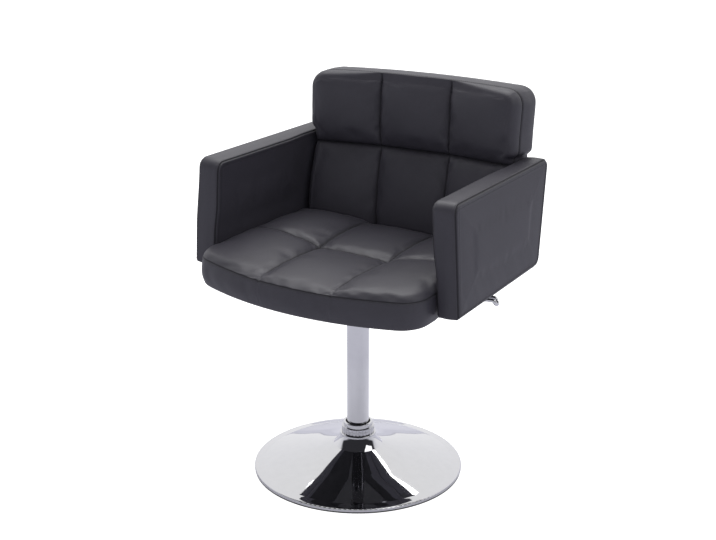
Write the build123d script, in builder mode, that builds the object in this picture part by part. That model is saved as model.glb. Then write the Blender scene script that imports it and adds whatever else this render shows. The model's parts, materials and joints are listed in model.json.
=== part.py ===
from build123d import *
from math import cos, radians, sin, tan
import os

# Swivel dining armchair: padded seat, back and box arms on a gas lift and a trumpet base.
# Millimetres. +Z up, the column on the Z axis, the floor at Z = 0. The chair faces -Y.

# ---------------------------------------------------------------- driving sizes: base
base_radius = 210.0
floor_ring_height = 3.0
floor_ring_width = 25.0
floor_ring_setback = 0.8
shell_wall = 2.0
rim_height = 9.5
rim_round = 2.0
rim_band = 19.0
rim_band_rise = 1.8
flare_radius = 49.0
flare_height = 52.0
neck_radius = 36.0
neck_height = 74.0
dish_hollow = 2.5
flare_hollow = 1.5
ballast_setback = 22.0
ballast_thickness = 6.0
hub_radius = 28.0
hub_flange_radius = 52.0
hub_flange_thickness = 5.0
hub_floor = 4.0
ballast_screw_radius = 3.0
ballast_screw_head = 6.0
ballast_screw_count = 4
ballast_screw_spread = 40.0

# collar at the foot of the column
neck_ring_height = 4.0
neck_ring_proud = 0.5
knurl_height = 13.5
knurl_radius = 32.5
knurl_groove = 1.3
knurl_grooves = 28
cap_height = 9.5
cap_radius = 29.5
collar_round = 1.5
seal_wall = 2.2
seal_height = 7.0

# ---------------------------------------------------------------- driving sizes: gas lift
column_radius = 22.2
column_wall = 2.0
column_top = 328.0
end_plate_thickness = 4.0
pressure_tube_radius = 14.0
pressure_tube_wall = 1.5
socket_length = 34.0
socket_taper = 0.6
pressure_tube_length = 314.0
rod_radius = 5.0
rod_collar_radius = 8.0
rod_collar_height = 4.0
rod_head_height = 2.0
rod_washer_overhang = 1.0
race_thickness = 2.0
race_radius = 14.5
lower_race_play = 1.0
cage_rim_play = 0.5
cage_bore_play = 1.5
ball_radius = 2.5
ball_spread = 10.5
ball_count = 8
cage_thickness = 2.4
bump_stop_radius = 12.0
bump_stop_height = 27.6
rod_guide_height = 18.0
rod_guide_setback = 2.0
piston_play = 2.0
piston_height = 10.0
clip_thickness = 1.0
clip_radius = 8.0
clip_groove = 1.0
clip_mouth = 0.8
lift_travel = 100.0
bush_length = 60.0
bush_flange = 3.0
valve_body_length = 28.0
valve_pin_radius = 4.0
valve_pin_length = 23.0
valve_pin_proud = 10.0
valve_pin_well = 4.0

# ---------------------------------------------------------------- driving sizes: seat plate and lever
plate_size = 200.0
plate_thickness = 3.0
plate_corner = 15.0
plate_window = 6.0
plate_hole_radius = 45.0
plate_bolt_spacing = 160.0
plate_bolt_radius = 4.0
plate_bolt_head = 6.5
plate_bolt_head_height = 4.0
housing_size = 140.0
housing_height = 38.0
housing_wall = 2.5
housing_corner = 10.0
hub_sleeve_radius = 21.0
hub_sleeve_below = 28.0
lever_angle = 18.0
lever_pivot = 58.0
lever_reach = 268.0
lever_rod_radius = 3.75
lever_leg_spacing = 16.0
lever_bend_radius = 6.0
lever_bend = 60.0
rocker_width = 26.0
rocker_height = 16.0
rocker_length = 84.0
rocker_nose = 4.0
rocker_nose_drop = 4.0
rocker_pivot_height = 17.5
rocker_pin_radius = 3.0
rocker_pin_head = 4.2
rocker_pin_head_height = 1.5
rod_socket_depth = 20.0
rod_above_pivot = 2.0
bracket_ear = 2.5
bracket_ear_play = 1.0
bracket_ear_rise = 8.0
lever_slot_play = 6.0
lever_slot_height = 28.0
washer_thickness = 1.6
washer_overhang = 2.0
tee_nut_wall = 1.5
tee_nut_depth = 9.0
tee_nut_flange = 4.0
bracket_length = 14.0

# ---------------------------------------------------------------- driving sizes: seat
seat_bottom = 405.2
seat_front = -243.0
seat_rear = 190.0
seat_rear_bow = 12.0
seat_front_bow = 55.0
seat_side_front = -165.0
seat_corner = 60.0
seat_rear_corner = 11.0
seat_side_height = 65.0
crown_beyond = 17.2
flange_width = 23.0
dust_cover_edge = 13.0
seat_lower_edge = 8.0
seam_x = 80.0
cross_seam_y = -20.0
cover_wall = 1.5
rail_width = 28.0
side_rail_height = 48.0
cross_rail_height = 32.0
rail_padding = 6.8
frame_front = -180.0
frame_rear = 148.0
deck_thickness = 6.0
deck_setback = 15.0
board_thickness = 18.0
board_half_width = 120.0
dust_cover_thickness = 1.0

# ---------------------------------------------------------------- driving sizes: arms
arm_front = -126.5
arm_front_bottom = 419.0
arm_front_top = 636.0
arm_rear_bottom = 426.0
arm_rear_top = 633.0
arm_bottom_length = 337.7
arm_top_length = 388.7
arm_thickness = 46.6
arm_outer = 299.4
arm_toe_in = 1.9
arm_lean = 2.93
arm_edge_round = 6.0
arm_corner_front = 12.0
arm_corner_low_rear = 22.0
arm_core_inset = 12.0
arm_core_bottom_inset = 8.0
arm_core_thickness = 22.0
arm_bolt_radius = 4.0
arm_bolt_head = 6.5
arm_bolt_head_height = 5.0
arm_bolt_socket = 3.0
arm_bolt_height = 443.0
arm_bolt_pitch = 105.0
insert_radius = 6.0
insert_length = 14.0
insert_depth = 2.0

# ---------------------------------------------------------------- driving sizes: back
back_bottom = 408.0
back_top = 765.0
back_crown = 7.0
back_rear = 250.5
back_lean = 4.2
back_boxing = 57.0
back_spread = 9.8
back_corner = 34.0
back_rear_round = 8.0
back_seam_z = 612.0
back_hollow_radius = 806.0
back_board_thickness = 15.0
back_board_inset = 33.0
back_board_cover = 11.0
back_board_lift = 6.0
back_edge_inset = 14.0
back_turn_width = 4.0
back_turn_share = 0.2
back_waist_rise = 2.0
back_overhang = 7.0
back_overhang_rise = 10.0
back_waist_round = 8.0
bracket_thickness = 4.0
bracket_width = 40.0
bracket_offset = 120.0
bracket_rise = 110.0
bracket_drop = 27.0
bracket_screw_radius = 2.5
bracket_screw_head = 4.5
bracket_screw_head_height = 2.5
bracket_screw_spacing = 22.0
bracket_screw_length = 14.0
bracket_screw_heights = (55.0, 90.0)
bracket_lift = 3.0
bracket_room = 4.0

# ---------------------------------------------------------------- fits
running_fit = 0.05
soft_gap = 0.3
face_gap = 0.1
bolt_clearance = 0.3
cutter = 600.0

# ---------------------------------------------------------------- derived sizes
ballast_radius = base_radius - ballast_setback
ballast_top = floor_ring_height + ballast_thickness
tube_bottom = ballast_top + hub_floor
race_bottom = tube_bottom + end_plate_thickness
ball_height = race_bottom + race_thickness + ball_radius + running_fit / 2
upper_race_bottom = ball_height + ball_radius + running_fit / 2
collar_bottom = upper_race_bottom + race_thickness + running_fit
bump_stop_bottom = collar_bottom + rod_collar_height + running_fit
pressure_bottom = bump_stop_bottom + bump_stop_height + soft_gap
guide_bottom = pressure_bottom + rod_guide_setback
piston_bottom = guide_bottom + rod_guide_height + lift_travel + piston_play
pressure_top = pressure_bottom + pressure_tube_length
pressure_bore = pressure_tube_radius - pressure_tube_wall
frame_bottom = seat_bottom + cover_wall + soft_gap
plate_bottom = frame_bottom - plate_thickness
housing_bottom = plate_bottom - housing_height
housing_floor = housing_bottom + housing_wall
pin_top = pressure_top + valve_pin_proud
rocker_underside = pin_top + soft_gap
pivot_height = housing_floor + rocker_pivot_height
rod_height = pivot_height + rod_above_pivot
deck_bottom = frame_bottom + cross_rail_height
deck_top = deck_bottom + deck_thickness
side_rail_top = frame_bottom + side_rail_height
knurl_bottom = neck_height + neck_ring_height
cap_bottom = knurl_bottom + knurl_height
rear_slope = tan(radians(back_lean))
arm_bolt_rows = [step * arm_bolt_pitch for step in (-1, 0, 1)]


def arm_inner_x(y, z):
    """Half the clear width between the arms at one place."""
    toe = tan(radians(arm_toe_in)) * (y - arm_front)
    lean = tan(radians(arm_lean)) * (z - arm_front_bottom)
    return arm_outer - toe - lean - arm_thickness / cos(radians(arm_lean))


# ---------------------------------------------------------------- derived widths
frame_half_width = arm_inner_x(frame_rear, side_rail_top) - rail_padding
deck_half_width = frame_half_width - rail_width - deck_setback
crown_half_width = arm_outer - arm_thickness + crown_beyond
back_waist_height = arm_front_top + back_waist_rise
back_waist = arm_inner_x(back_rear, back_waist_height) - soft_gap
back_half_top = back_waist + back_spread


def save(piece, name):
    """Label a finished piece and write it."""
    piece.label = name
    export_step(piece, f"parts/{name}.step")


def tube(inner, outer, bottom, top):
    """A plain ring or tube about the Z axis."""
    with BuildPart() as ring:
        with BuildSketch(Plane.XY.offset(bottom)):
            Circle(outer)
            if inner > 0:
                Circle(inner, mode=Mode.SUBTRACT)
        extrude(amount=top - bottom)
    return ring.part


def turned(points):
    """A solid turned about the Z axis from its half section of (radius, height) corners."""
    with BuildPart() as solid:
        with BuildSketch(Plane.XZ):
            with BuildLine():
                Polyline(*points, close=True)
            make_face()
        revolve(axis=Axis.Z)
    return solid.part


# ================================================================ base
def make_base_shell():
    """Spun trumpet: a rolled rim, a flat band, a shallow dish and a steep flare to the neck."""
    band_inner = base_radius - rim_band
    band_height = rim_height + rim_band_rise
    foot = floor_ring_height
    with BuildPart() as base_shell:
        with BuildSketch(Plane.XZ):
            with BuildLine():
                Line((base_radius, foot), (base_radius, rim_height - rim_round))
                ThreePointArc(
                    (base_radius, rim_height - rim_round),
                    (base_radius - 0.3 * rim_round, rim_height - 0.3 * rim_round),
                    (base_radius - rim_round, rim_height),
                )
                Line((base_radius - rim_round, rim_height), (band_inner, band_height))
                SagittaArc((band_inner, band_height), (flare_radius, flare_height), dish_hollow)
                SagittaArc((flare_radius, flare_height), (neck_radius, neck_height), flare_hollow)
                Line((neck_radius, neck_height), (neck_radius - shell_wall, neck_height))
                SagittaArc(
                    (neck_radius - shell_wall, neck_height),
                    (flare_radius - shell_wall, flare_height - shell_wall),
                    -flare_hollow,
                )
                SagittaArc(
                    (flare_radius - shell_wall, flare_height - shell_wall),
                    (band_inner, band_height - shell_wall),
                    -dish_hollow,
                )
                Line(
                    (band_inner, band_height - shell_wall),
                    (base_radius - shell_wall, rim_height - shell_wall),
                )
                Line(
                    (base_radius - shell_wall, rim_height - shell_wall),
                    (base_radius - shell_wall, foot),
                )
                Line((base_radius - shell_wall, foot), (base_radius, foot))
            make_face()
        revolve(axis=Axis.Z)
    save(base_shell.part, "base_shell")


def make_floor_ring():
    """Black rubber ring that the shell's rim and the ballast plate stand on."""
    outer = base_radius - floor_ring_setback
    save(tube(outer - floor_ring_width, outer, 0, floor_ring_height), "floor_ring")


def make_ballast():
    """Steel disc that keeps the chair upright, and the screws that hold it to the hub."""
    hole = rod_collar_radius * 2
    hole_radius = ballast_screw_radius + running_fit
    head = ballast_screw_head - ballast_screw_radius
    with BuildPart() as ballast_plate:
        with BuildSketch(Plane.XY.offset(floor_ring_height)):
            Circle(ballast_radius)
            Circle(hole, mode=Mode.SUBTRACT)
        extrude(amount=ballast_thickness)
        with PolarLocations(ballast_screw_spread, ballast_screw_count):
            Cylinder(hole_radius, cutter, mode=Mode.SUBTRACT)
            with Locations((0, 0, floor_ring_height)):
                Cone(
                    ballast_screw_head + running_fit + face_gap,
                    hole_radius,
                    head + face_gap,
                    align=(Align.CENTER, Align.CENTER, Align.MIN),
                    mode=Mode.SUBTRACT,
                )
    save(ballast_plate.part, "ballast_plate")

    screw_top = ballast_top + hub_flange_thickness
    with BuildPart() as ballast_screws:
        with PolarLocations(ballast_screw_spread, ballast_screw_count):
            with Locations((0, 0, floor_ring_height + face_gap)):
                Cone(
                    ballast_screw_head,
                    ballast_screw_radius,
                    head,
                    align=(Align.CENTER, Align.CENTER, Align.MIN),
                )
                Cylinder(
                    ballast_screw_radius,
                    screw_top - floor_ring_height - face_gap,
                    align=(Align.CENTER, Align.CENTER, Align.MIN),
                )
    save(ballast_screws.part, "ballast_screws")


def make_hub_socket():
    """Flanged socket that carries the column on the ballast plate."""
    hub_top = neck_height - face_gap
    bore = column_radius + running_fit
    flange_top = ballast_top + hub_flange_thickness
    profile = [
        (rod_collar_radius * 2, ballast_top),
        (hub_flange_radius, ballast_top),
        (hub_flange_radius, flange_top),
        (hub_radius, flange_top),
        (hub_radius, hub_top),
        (bore, hub_top),
        (bore, tube_bottom),
        (rod_collar_radius * 2, tube_bottom),
    ]
    with BuildPart() as hub_socket:
        add(turned(profile))
        with PolarLocations(ballast_screw_spread, ballast_screw_count):
            Cylinder(ballast_screw_radius + running_fit, 3 * flange_top, mode=Mode.SUBTRACT)
    save(hub_socket.part, "hub_socket")


def make_collar():
    """Rings round the foot of the column: neck ring, knurled nut, rounded cap and rubber seal."""
    bore = column_radius + running_fit
    with BuildPart() as neck_ring:
        add(tube(bore, neck_radius + neck_ring_proud, neck_height, knurl_bottom))
        fillet(neck_ring.edges().group_by(Axis.Z)[-1].sort_by(SortBy.RADIUS)[-1], collar_round)
    save(neck_ring.part, "neck_ring")

    with BuildPart() as knurled_nut:
        with BuildSketch(Plane.XY.offset(knurl_bottom)):
            Circle(knurl_radius)
            Circle(bore, mode=Mode.SUBTRACT)
            with PolarLocations(knurl_radius + knurl_groove / 3, knurl_grooves):
                Circle(knurl_groove, mode=Mode.SUBTRACT)
        extrude(amount=knurl_height)
    save(knurled_nut.part, "knurled_nut")

    seal_outer = bore + seal_wall
    with BuildPart() as nut_cap:
        add(tube(seal_outer + face_gap, cap_radius, cap_bottom, cap_bottom + cap_height))
        top_edges = nut_cap.edges().group_by(Axis.Z)[-1]
        fillet(top_edges, collar_round)
    save(nut_cap.part, "nut_cap")
    seal_bottom = cap_bottom + face_gap
    save(tube(bore, seal_outer, seal_bottom, seal_bottom + seal_height), "column_seal")


def make_column():
    """Chrome stand tube with its welded end plate and the guide bush in its mouth."""
    bore = column_radius - column_wall
    save(tube(bore, column_radius, tube_bottom, column_top), "column_tube")
    end_plate = tube(rod_radius + bolt_clearance, bore - running_fit, tube_bottom, race_bottom)
    save(end_plate, "tube_end_plate")
    slide = pressure_tube_radius + running_fit
    profile = [
        (slide, column_top - bush_length),
        (bore - running_fit, column_top - bush_length),
        (bore - running_fit, column_top),
        (column_radius, column_top),
        (column_radius, column_top + bush_flange),
        (slide, column_top + bush_flange),
    ]
    save(turned(profile), "guide_bush")


# ================================================================ swivel and lift
def make_thrust_bearing():
    """Two races, a ring of balls and their cage, which carry the piston rod."""
    lower = tube(rod_radius + lower_race_play, race_radius, race_bottom, race_bottom + race_thickness)
    save(lower, "lower_race")
    upper_top = upper_race_bottom + race_thickness
    save(tube(rod_radius + running_fit, race_radius, upper_race_bottom, upper_top), "upper_race")
    with BuildPart() as thrust_balls:
        with Locations((0, 0, ball_height)):
            with PolarLocations(ball_spread, ball_count):
                Sphere(ball_radius)
    save(thrust_balls.part, "thrust_balls")
    with BuildPart() as ball_cage:
        with BuildSketch(Plane.XY.offset(ball_height - cage_thickness / 2)):
            Circle(race_radius - cage_rim_play)
            Circle(rod_radius + cage_bore_play, mode=Mode.SUBTRACT)
            with PolarLocations(ball_spread, ball_count):
                Circle(ball_radius + running_fit, mode=Mode.SUBTRACT)
        extrude(amount=cage_thickness)
    save(ball_cage.part, "ball_cage")


def make_piston_rod():
    """Rod with the collar that stands on the upper race, a clip groove and a peened head."""
    clip_top = tube_bottom - running_fit - clip_thickness
    clip_bottom = clip_top - clip_thickness
    rod_bottom = clip_bottom - clip_thickness
    piston_top = piston_bottom + piston_height
    profile = [
        (0, rod_bottom),
        (rod_radius, rod_bottom),
        (rod_radius, clip_bottom),
        (rod_radius - clip_groove, clip_bottom),
        (rod_radius - clip_groove, clip_top),
        (rod_radius, clip_top),
        (rod_radius, collar_bottom),
        (rod_collar_radius, collar_bottom),
        (rod_collar_radius, collar_bottom + rod_collar_height),
        (rod_radius, collar_bottom + rod_collar_height),
        (rod_radius, piston_top + running_fit),
        (rod_collar_radius, piston_top + running_fit),
        (rod_collar_radius, piston_top + rod_head_height),
        (0, piston_top + rod_head_height),
    ]
    save(turned(profile), "piston_rod")
    bore = rod_radius + running_fit
    save(tube(bore, rod_collar_radius + rod_washer_overhang, clip_top, clip_top + clip_thickness), "rod_washer")
    clip_bore = rod_radius - clip_groove + running_fit
    with BuildPart() as rod_clip:
        with BuildSketch(Plane.XY.offset(clip_bottom + running_fit)):
            Circle(clip_radius)
            Circle(clip_bore, mode=Mode.SUBTRACT)
            with Locations((clip_radius / 2, 0)):
                Rectangle(clip_radius, 2 * clip_bore * clip_mouth, mode=Mode.SUBTRACT)
        extrude(amount=clip_thickness - 2 * running_fit)
    save(rod_clip.part, "rod_clip")
    stop_top = bump_stop_bottom + bump_stop_height
    save(tube(bore, bump_stop_radius, bump_stop_bottom, stop_top), "bump_stop")
    save(tube(bore, pressure_bore - running_fit, piston_bottom, piston_top), "piston")


def make_pressure_tube():
    """Gas cylinder that slides in the bush: tapered top, rod guide below, valve above."""
    socket_bottom = pressure_top - socket_length
    profile = [
        (pressure_bore, pressure_bottom),
        (pressure_tube_radius, pressure_bottom),
        (pressure_tube_radius, socket_bottom),
        (pressure_tube_radius - socket_taper, pressure_top),
        (pressure_bore, pressure_top),
    ]
    save(turned(profile), "pressure_tube")
    plug = pressure_bore - running_fit
    guide_top = guide_bottom + rod_guide_height
    save(tube(rod_radius + running_fit, plug, guide_bottom, guide_top), "rod_guide")
    pin_bore = valve_pin_radius + running_fit
    valve_bottom = pressure_top - valve_body_length
    pin_well = pin_top - valve_pin_length - valve_pin_well
    profile = [
        (0, valve_bottom),
        (plug, valve_bottom),
        (plug, pressure_top),
        (pin_bore, pressure_top),
        (pin_bore, pin_well),
        (0, pin_well),
    ]
    save(turned(profile), "valve_body")
    save(tube(0, valve_pin_radius, pin_top - valve_pin_length, pin_top), "valve_pin")


# ================================================================ seat plate and lever
# the lever runs out radially, turned by lever_angle from +X: u along it, v across it
lever_plane = Plane(
    origin=(0, 0, 0),
    x_dir=(cos(radians(lever_angle)), sin(radians(lever_angle)), 0),
    z_dir=(sin(radians(lever_angle)), -cos(radians(lever_angle)), 0),
)


def across_lever(half_width):
    """The upright plane of the lever's run, moved sideways to one face of a piece."""
    return lever_plane.offset(half_width)


def make_seat_plate():
    """Pressed plate under the seat, its housing, and the tapered sleeve that takes the gas lift."""
    with BuildPart() as seat_plate:
        with BuildSketch(Plane.XY.offset(plate_bottom)):
            RectangleRounded(plate_size, plate_size, plate_corner)
            Circle(plate_hole_radius, mode=Mode.SUBTRACT)
            with GridLocations(plate_bolt_spacing, plate_bolt_spacing, 2, 2):
                Circle(plate_bolt_radius + bolt_clearance, mode=Mode.SUBTRACT)
        extrude(amount=plate_thickness)
    save(seat_plate.part, "seat_plate")

    inside = housing_size - 2 * housing_wall
    slot = rocker_width + lever_slot_play
    slot_centre = plate_bottom - lever_slot_height / 2
    with BuildPart() as plate_housing:
        with BuildSketch(Plane.XY.offset(housing_bottom)):
            RectangleRounded(housing_size, housing_size, housing_corner)
        extrude(amount=housing_height)
        with BuildSketch(Plane.XY.offset(housing_floor)):
            RectangleRounded(inside, inside, housing_corner - housing_wall)
        extrude(amount=housing_height, mode=Mode.SUBTRACT)
        with BuildSketch(Plane.XY.offset(housing_bottom)):
            Circle(hub_sleeve_radius + running_fit)
        extrude(amount=housing_wall, mode=Mode.SUBTRACT)
        with BuildSketch(across_lever(-slot / 2)):
            with Locations((housing_size / 2, slot_centre)):
                Rectangle(housing_size / 2, lever_slot_height)
        extrude(amount=slot, mode=Mode.SUBTRACT)
    save(plate_housing.part, "plate_housing")

    socket_bottom = pressure_top - socket_length
    sleeve_bottom = housing_bottom - hub_sleeve_below
    sleeve_top = housing_floor + face_gap
    slope = socket_taper / socket_length
    straight = pressure_tube_radius + running_fit
    profile = [
        (straight, sleeve_bottom),
        (hub_sleeve_radius, sleeve_bottom),
        (hub_sleeve_radius, sleeve_top),
        (straight - slope * (sleeve_top - socket_bottom), sleeve_top),
        (straight, socket_bottom),
    ]
    save(turned(profile), "hub_sleeve")


def make_plate_fasteners():
    """Bolts up through the seat plate into tee nuts on top of the mounting board."""
    board_top = frame_bottom + board_thickness
    with BuildPart() as plate_washers:
        with BuildSketch(Plane.XY.offset(plate_bottom - washer_thickness)):
            with GridLocations(plate_bolt_spacing, plate_bolt_spacing, 2, 2):
                Circle(plate_bolt_head + washer_overhang)
                Circle(plate_bolt_radius + bolt_clearance, mode=Mode.SUBTRACT)
        extrude(amount=washer_thickness - running_fit)
    save(plate_washers.part, "plate_washers")
    head_bottom = plate_bottom - washer_thickness - plate_bolt_head_height
    with BuildPart() as plate_bolts:
        with BuildSketch(Plane.XY.offset(head_bottom)):
            with GridLocations(plate_bolt_spacing, plate_bolt_spacing, 2, 2):
                RegularPolygon(plate_bolt_head, 6)
        extrude(amount=plate_bolt_head_height)
        with BuildSketch(Plane.XY.offset(head_bottom + plate_bolt_head_height / 2)):
            with GridLocations(plate_bolt_spacing, plate_bolt_spacing, 2, 2):
                Circle(plate_bolt_radius)
        extrude(amount=board_top - head_bottom - plate_bolt_head_height / 2)
    save(plate_bolts.part, "plate_bolts")
    with BuildPart() as tee_nuts:
        with BuildSketch(Plane.XY.offset(board_top + running_fit)):
            with GridLocations(plate_bolt_spacing, plate_bolt_spacing, 2, 2):
                Circle(plate_bolt_head + tee_nut_flange)
        extrude(amount=tee_nut_wall)
        with BuildSketch(Plane.XY.offset(board_top - tee_nut_depth)):
            with GridLocations(plate_bolt_spacing, plate_bolt_spacing, 2, 2):
                Circle(plate_bolt_radius + tee_nut_wall)
        extrude(amount=tee_nut_depth + tee_nut_wall / 2)
        with GridLocations(plate_bolt_spacing, plate_bolt_spacing, 2, 2):
            Cylinder(plate_bolt_radius + running_fit, 3 * board_top, mode=Mode.SUBTRACT)
    save(tee_nuts.part, "tee_nuts")


def make_rocker():
    """Rocker on its pin between two ears: its nose presses the valve pin, its tail holds the lever."""
    ear_inside = rocker_width / 2 + bracket_ear_play
    ear_outside = ear_inside + bracket_ear
    ear_top = pivot_height + bracket_ear_rise
    with BuildPart() as rocker_bracket:
        with BuildSketch(across_lever(-ear_outside)):
            with Locations((lever_pivot, (housing_floor + ear_top) / 2)):
                Rectangle(bracket_length, ear_top - housing_floor)
        extrude(amount=2 * ear_outside)
        with BuildSketch(across_lever(-ear_inside)):
            with Locations((lever_pivot, (housing_floor + bracket_ear + ear_top) / 2)):
                Rectangle(2 * bracket_length, ear_top - housing_floor - bracket_ear)
        extrude(amount=2 * ear_inside, mode=Mode.SUBTRACT)
        with BuildSketch(across_lever(-ear_outside)):
            with Locations((lever_pivot, pivot_height)):
                Circle(rocker_pin_radius + running_fit)
        extrude(amount=2 * ear_outside, mode=Mode.SUBTRACT)
    save(rocker_bracket.part, "rocker_bracket")

    pin_half = ear_outside + face_gap
    with BuildPart() as rocker_pin:
        for end in (-1, 1):
            with BuildSketch(across_lever(end * pin_half)):
                with Locations((lever_pivot, pivot_height)):
                    Circle(rocker_pin_head)
            extrude(amount=end * rocker_pin_head_height)
        with BuildSketch(across_lever(-pin_half)):
            with Locations((lever_pivot, pivot_height)):
                Circle(rocker_pin_radius)
        extrude(amount=2 * pin_half)
    save(rocker_pin.part, "rocker_pin")

    low = rod_height - rocker_height / 2
    high = rod_height + rocker_height / 2
    with BuildPart() as lever_rocker:
        with BuildSketch(across_lever(-rocker_width / 2)):
            with BuildLine():
                Polyline(
                    (-rocker_nose, rocker_underside),
                    (lever_pivot / 3, rocker_underside),
                    (lever_pivot - bracket_length / 2, low),
                    (rocker_length, low),
                    (rocker_length, high),
                    (lever_pivot / 3, high),
                    (-rocker_nose, high - rocker_nose_drop),
                    close=True,
                )
            make_face()
            with Locations((lever_pivot, pivot_height)):
                Circle(rocker_pin_radius + running_fit, mode=Mode.SUBTRACT)
        extrude(amount=rocker_width)
        socket_plane = Plane(
            origin=lever_plane.from_local_coords((rocker_length, rod_height, 0)),
            x_dir=(0, 0, 1),
            z_dir=lever_plane.x_dir,
        )
        with BuildSketch(socket_plane):
            with Locations((0, -lever_leg_spacing / 2), (0, lever_leg_spacing / 2)):
                Circle(lever_rod_radius + running_fit)
        extrude(amount=-rod_socket_depth, mode=Mode.SUBTRACT)
    save(lever_rocker.part, "lever_rocker")


def lever_point(u, height, v):
    """A point of the lever: u out from the column axis, v across."""
    return lever_plane.from_local_coords((u, height, v))


def make_lever_handle():
    """Hairpin of chrome rod: two legs side by side whose closed end is bent down."""
    half = lever_leg_spacing / 2
    turn = radians(lever_bend)
    start = rocker_length - rod_socket_depth + face_gap
    bend_u = lever_reach + lever_bend_radius * sin(turn)
    bend_z = rod_height - lever_bend_radius * (1 - cos(turn))
    mid_u = lever_reach + lever_bend_radius * sin(turn / 2)
    mid_z = rod_height - lever_bend_radius * (1 - cos(turn / 2))
    quarter = sin(radians(45))
    with BuildPart() as lever_handle:
        with BuildLine() as route:
            Line(lever_point(start, rod_height, -half), lever_point(lever_reach, rod_height, -half))
            ThreePointArc(
                lever_point(lever_reach, rod_height, -half),
                lever_point(mid_u, mid_z, -half),
                lever_point(bend_u, bend_z, -half),
            )
            tip_u = bend_u + half * cos(turn)
            tip_z = bend_z - half * sin(turn)
            for side in (-1, 1):
                ThreePointArc(
                    lever_point(bend_u, bend_z, side * half),
                    lever_point(
                        bend_u + half * quarter * cos(turn),
                        bend_z - half * quarter * sin(turn),
                        side * half * quarter,
                    ),
                    lever_point(tip_u, tip_z, 0),
                )
            ThreePointArc(
                lever_point(bend_u, bend_z, half),
                lever_point(mid_u, mid_z, half),
                lever_point(lever_reach, rod_height, half),
            )
            Line(lever_point(lever_reach, rod_height, half), lever_point(start, rod_height, half))
        rod_end = Plane(origin=lever_point(start, rod_height, -half), z_dir=lever_plane.x_dir)
        with BuildSketch(rod_end):
            Circle(lever_rod_radius)
        sweep(path=route.wires()[0])
    save(lever_handle.part, "lever_handle")


# ================================================================ arms
# every arm piece is drawn for the +X side and mirrored for the other
def arm_plane(depth):
    """Plane in the arm, depth in from its outer face: local x runs back, local y up, z outwards."""
    toe = radians(arm_toe_in)
    lean = radians(arm_lean)
    normal = Vector(cos(toe) * cos(lean), sin(toe) * cos(lean), sin(lean))
    along = Vector(-sin(toe), cos(toe), 0)
    corner = Vector(arm_outer, arm_front, arm_front_bottom)
    return Plane(origin=corner - normal * depth, x_dir=along, z_dir=normal)


def arm_outline(inset):
    """Side view of an arm: upright front, slanting rear end, drawn in by inset all round."""
    up = cos(radians(arm_lean))
    low_rear = (arm_rear_bottom - arm_front_bottom) / up
    high_front = (arm_front_top - arm_front_bottom) / up
    high_rear = (arm_rear_top - arm_front_bottom) / up
    with BuildSketch() as outline:
        with BuildLine():
            Polyline(
                (0, 0),
                (arm_bottom_length, low_rear),
                (arm_top_length, high_rear),
                (0, high_front),
                close=True,
            )
        make_face()
        by_height = outline.vertices().sort_by(Axis.Y)
        fillet(by_height[1], arm_corner_low_rear)
        by_height = outline.vertices().sort_by(Axis.Y)
        fillet([by_height[-1], by_height[-2]], arm_corner_front)
        if inset > 0:
            offset(amount=-inset, kind=Kind.INTERSECTION, mode=Mode.REPLACE)
    return outline.sketch


def arm_form(inset):
    """An arm's padded box with rounded long edges, drawn in by inset."""
    plane = arm_plane(inset)
    with BuildPart() as form:
        with BuildSketch(plane):
            add(arm_outline(inset))
        extrude(amount=-(arm_thickness - 2 * inset))
        ends = form.faces().filter_by(plane)
        fillet(ends.edges(), arm_edge_round - inset)
    return form.part


def arm_bolt_rods(radius, start, end):
    """Rods along X at the three arm bolts, each from start to end."""
    with BuildPart() as rods:
        with BuildSketch(Plane.YZ.offset(start)):
            with Locations((0, arm_bolt_height)):
                with GridLocations(arm_bolt_pitch, 0, 3, 1):
                    Circle(radius)
        extrude(amount=end - start)
    return rods.part


def save_pair(piece, name):
    """Write a +X piece and its mirror image on the other side."""
    twin = mirror(piece, about=Plane.YZ)
    save(piece, name + "_right")
    save(twin, name + "_left")


def insert_start(y):
    """Where the threaded insert begins in the arm core at one bolt."""
    return arm_inner_x(y, arm_bolt_height) + arm_core_inset + insert_depth


def make_arms():
    """Arm covers, foams and cores, with the bolts that hold them to the seat frame."""
    foam_inset = cover_wall + soft_gap
    core_depth = (arm_thickness - arm_core_thickness) / 2
    way_end = insert_start(arm_bolt_rows[0])
    bolt_way = arm_bolt_rods(arm_bolt_radius + bolt_clearance, frame_half_width, way_end)

    with BuildPart() as arm_cover:
        add(arm_form(0))
        add(arm_form(cover_wall), mode=Mode.SUBTRACT)
        add(bolt_way, mode=Mode.SUBTRACT)
    save_pair(arm_cover.part, "arm_cover")

    with BuildPart() as core:
        with BuildSketch(arm_plane(core_depth)):
            add(arm_outline(arm_core_inset))
        extrude(amount=-arm_core_thickness)
    with BuildPart() as pocket:
        with BuildSketch(arm_plane(core_depth - soft_gap)):
            add(arm_outline(arm_core_inset - soft_gap))
        extrude(amount=-(arm_core_thickness + 2 * soft_gap))
    with BuildPart() as arm_foam:
        add(arm_form(foam_inset))
        add(pocket.part, mode=Mode.SUBTRACT)
        add(bolt_way, mode=Mode.SUBTRACT)
    save_pair(arm_foam.part, "arm_foam")

    with BuildPart() as arm_core:
        add(core.part)
        for y in arm_bolt_rows:
            with BuildSketch(Plane.YZ.offset(frame_half_width)):
                with Locations((y, arm_bolt_height)):
                    Circle(insert_radius + running_fit)
            extrude(amount=insert_start(y) + insert_length - frame_half_width, mode=Mode.SUBTRACT)
    save_pair(arm_core.part, "arm_core")


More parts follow.
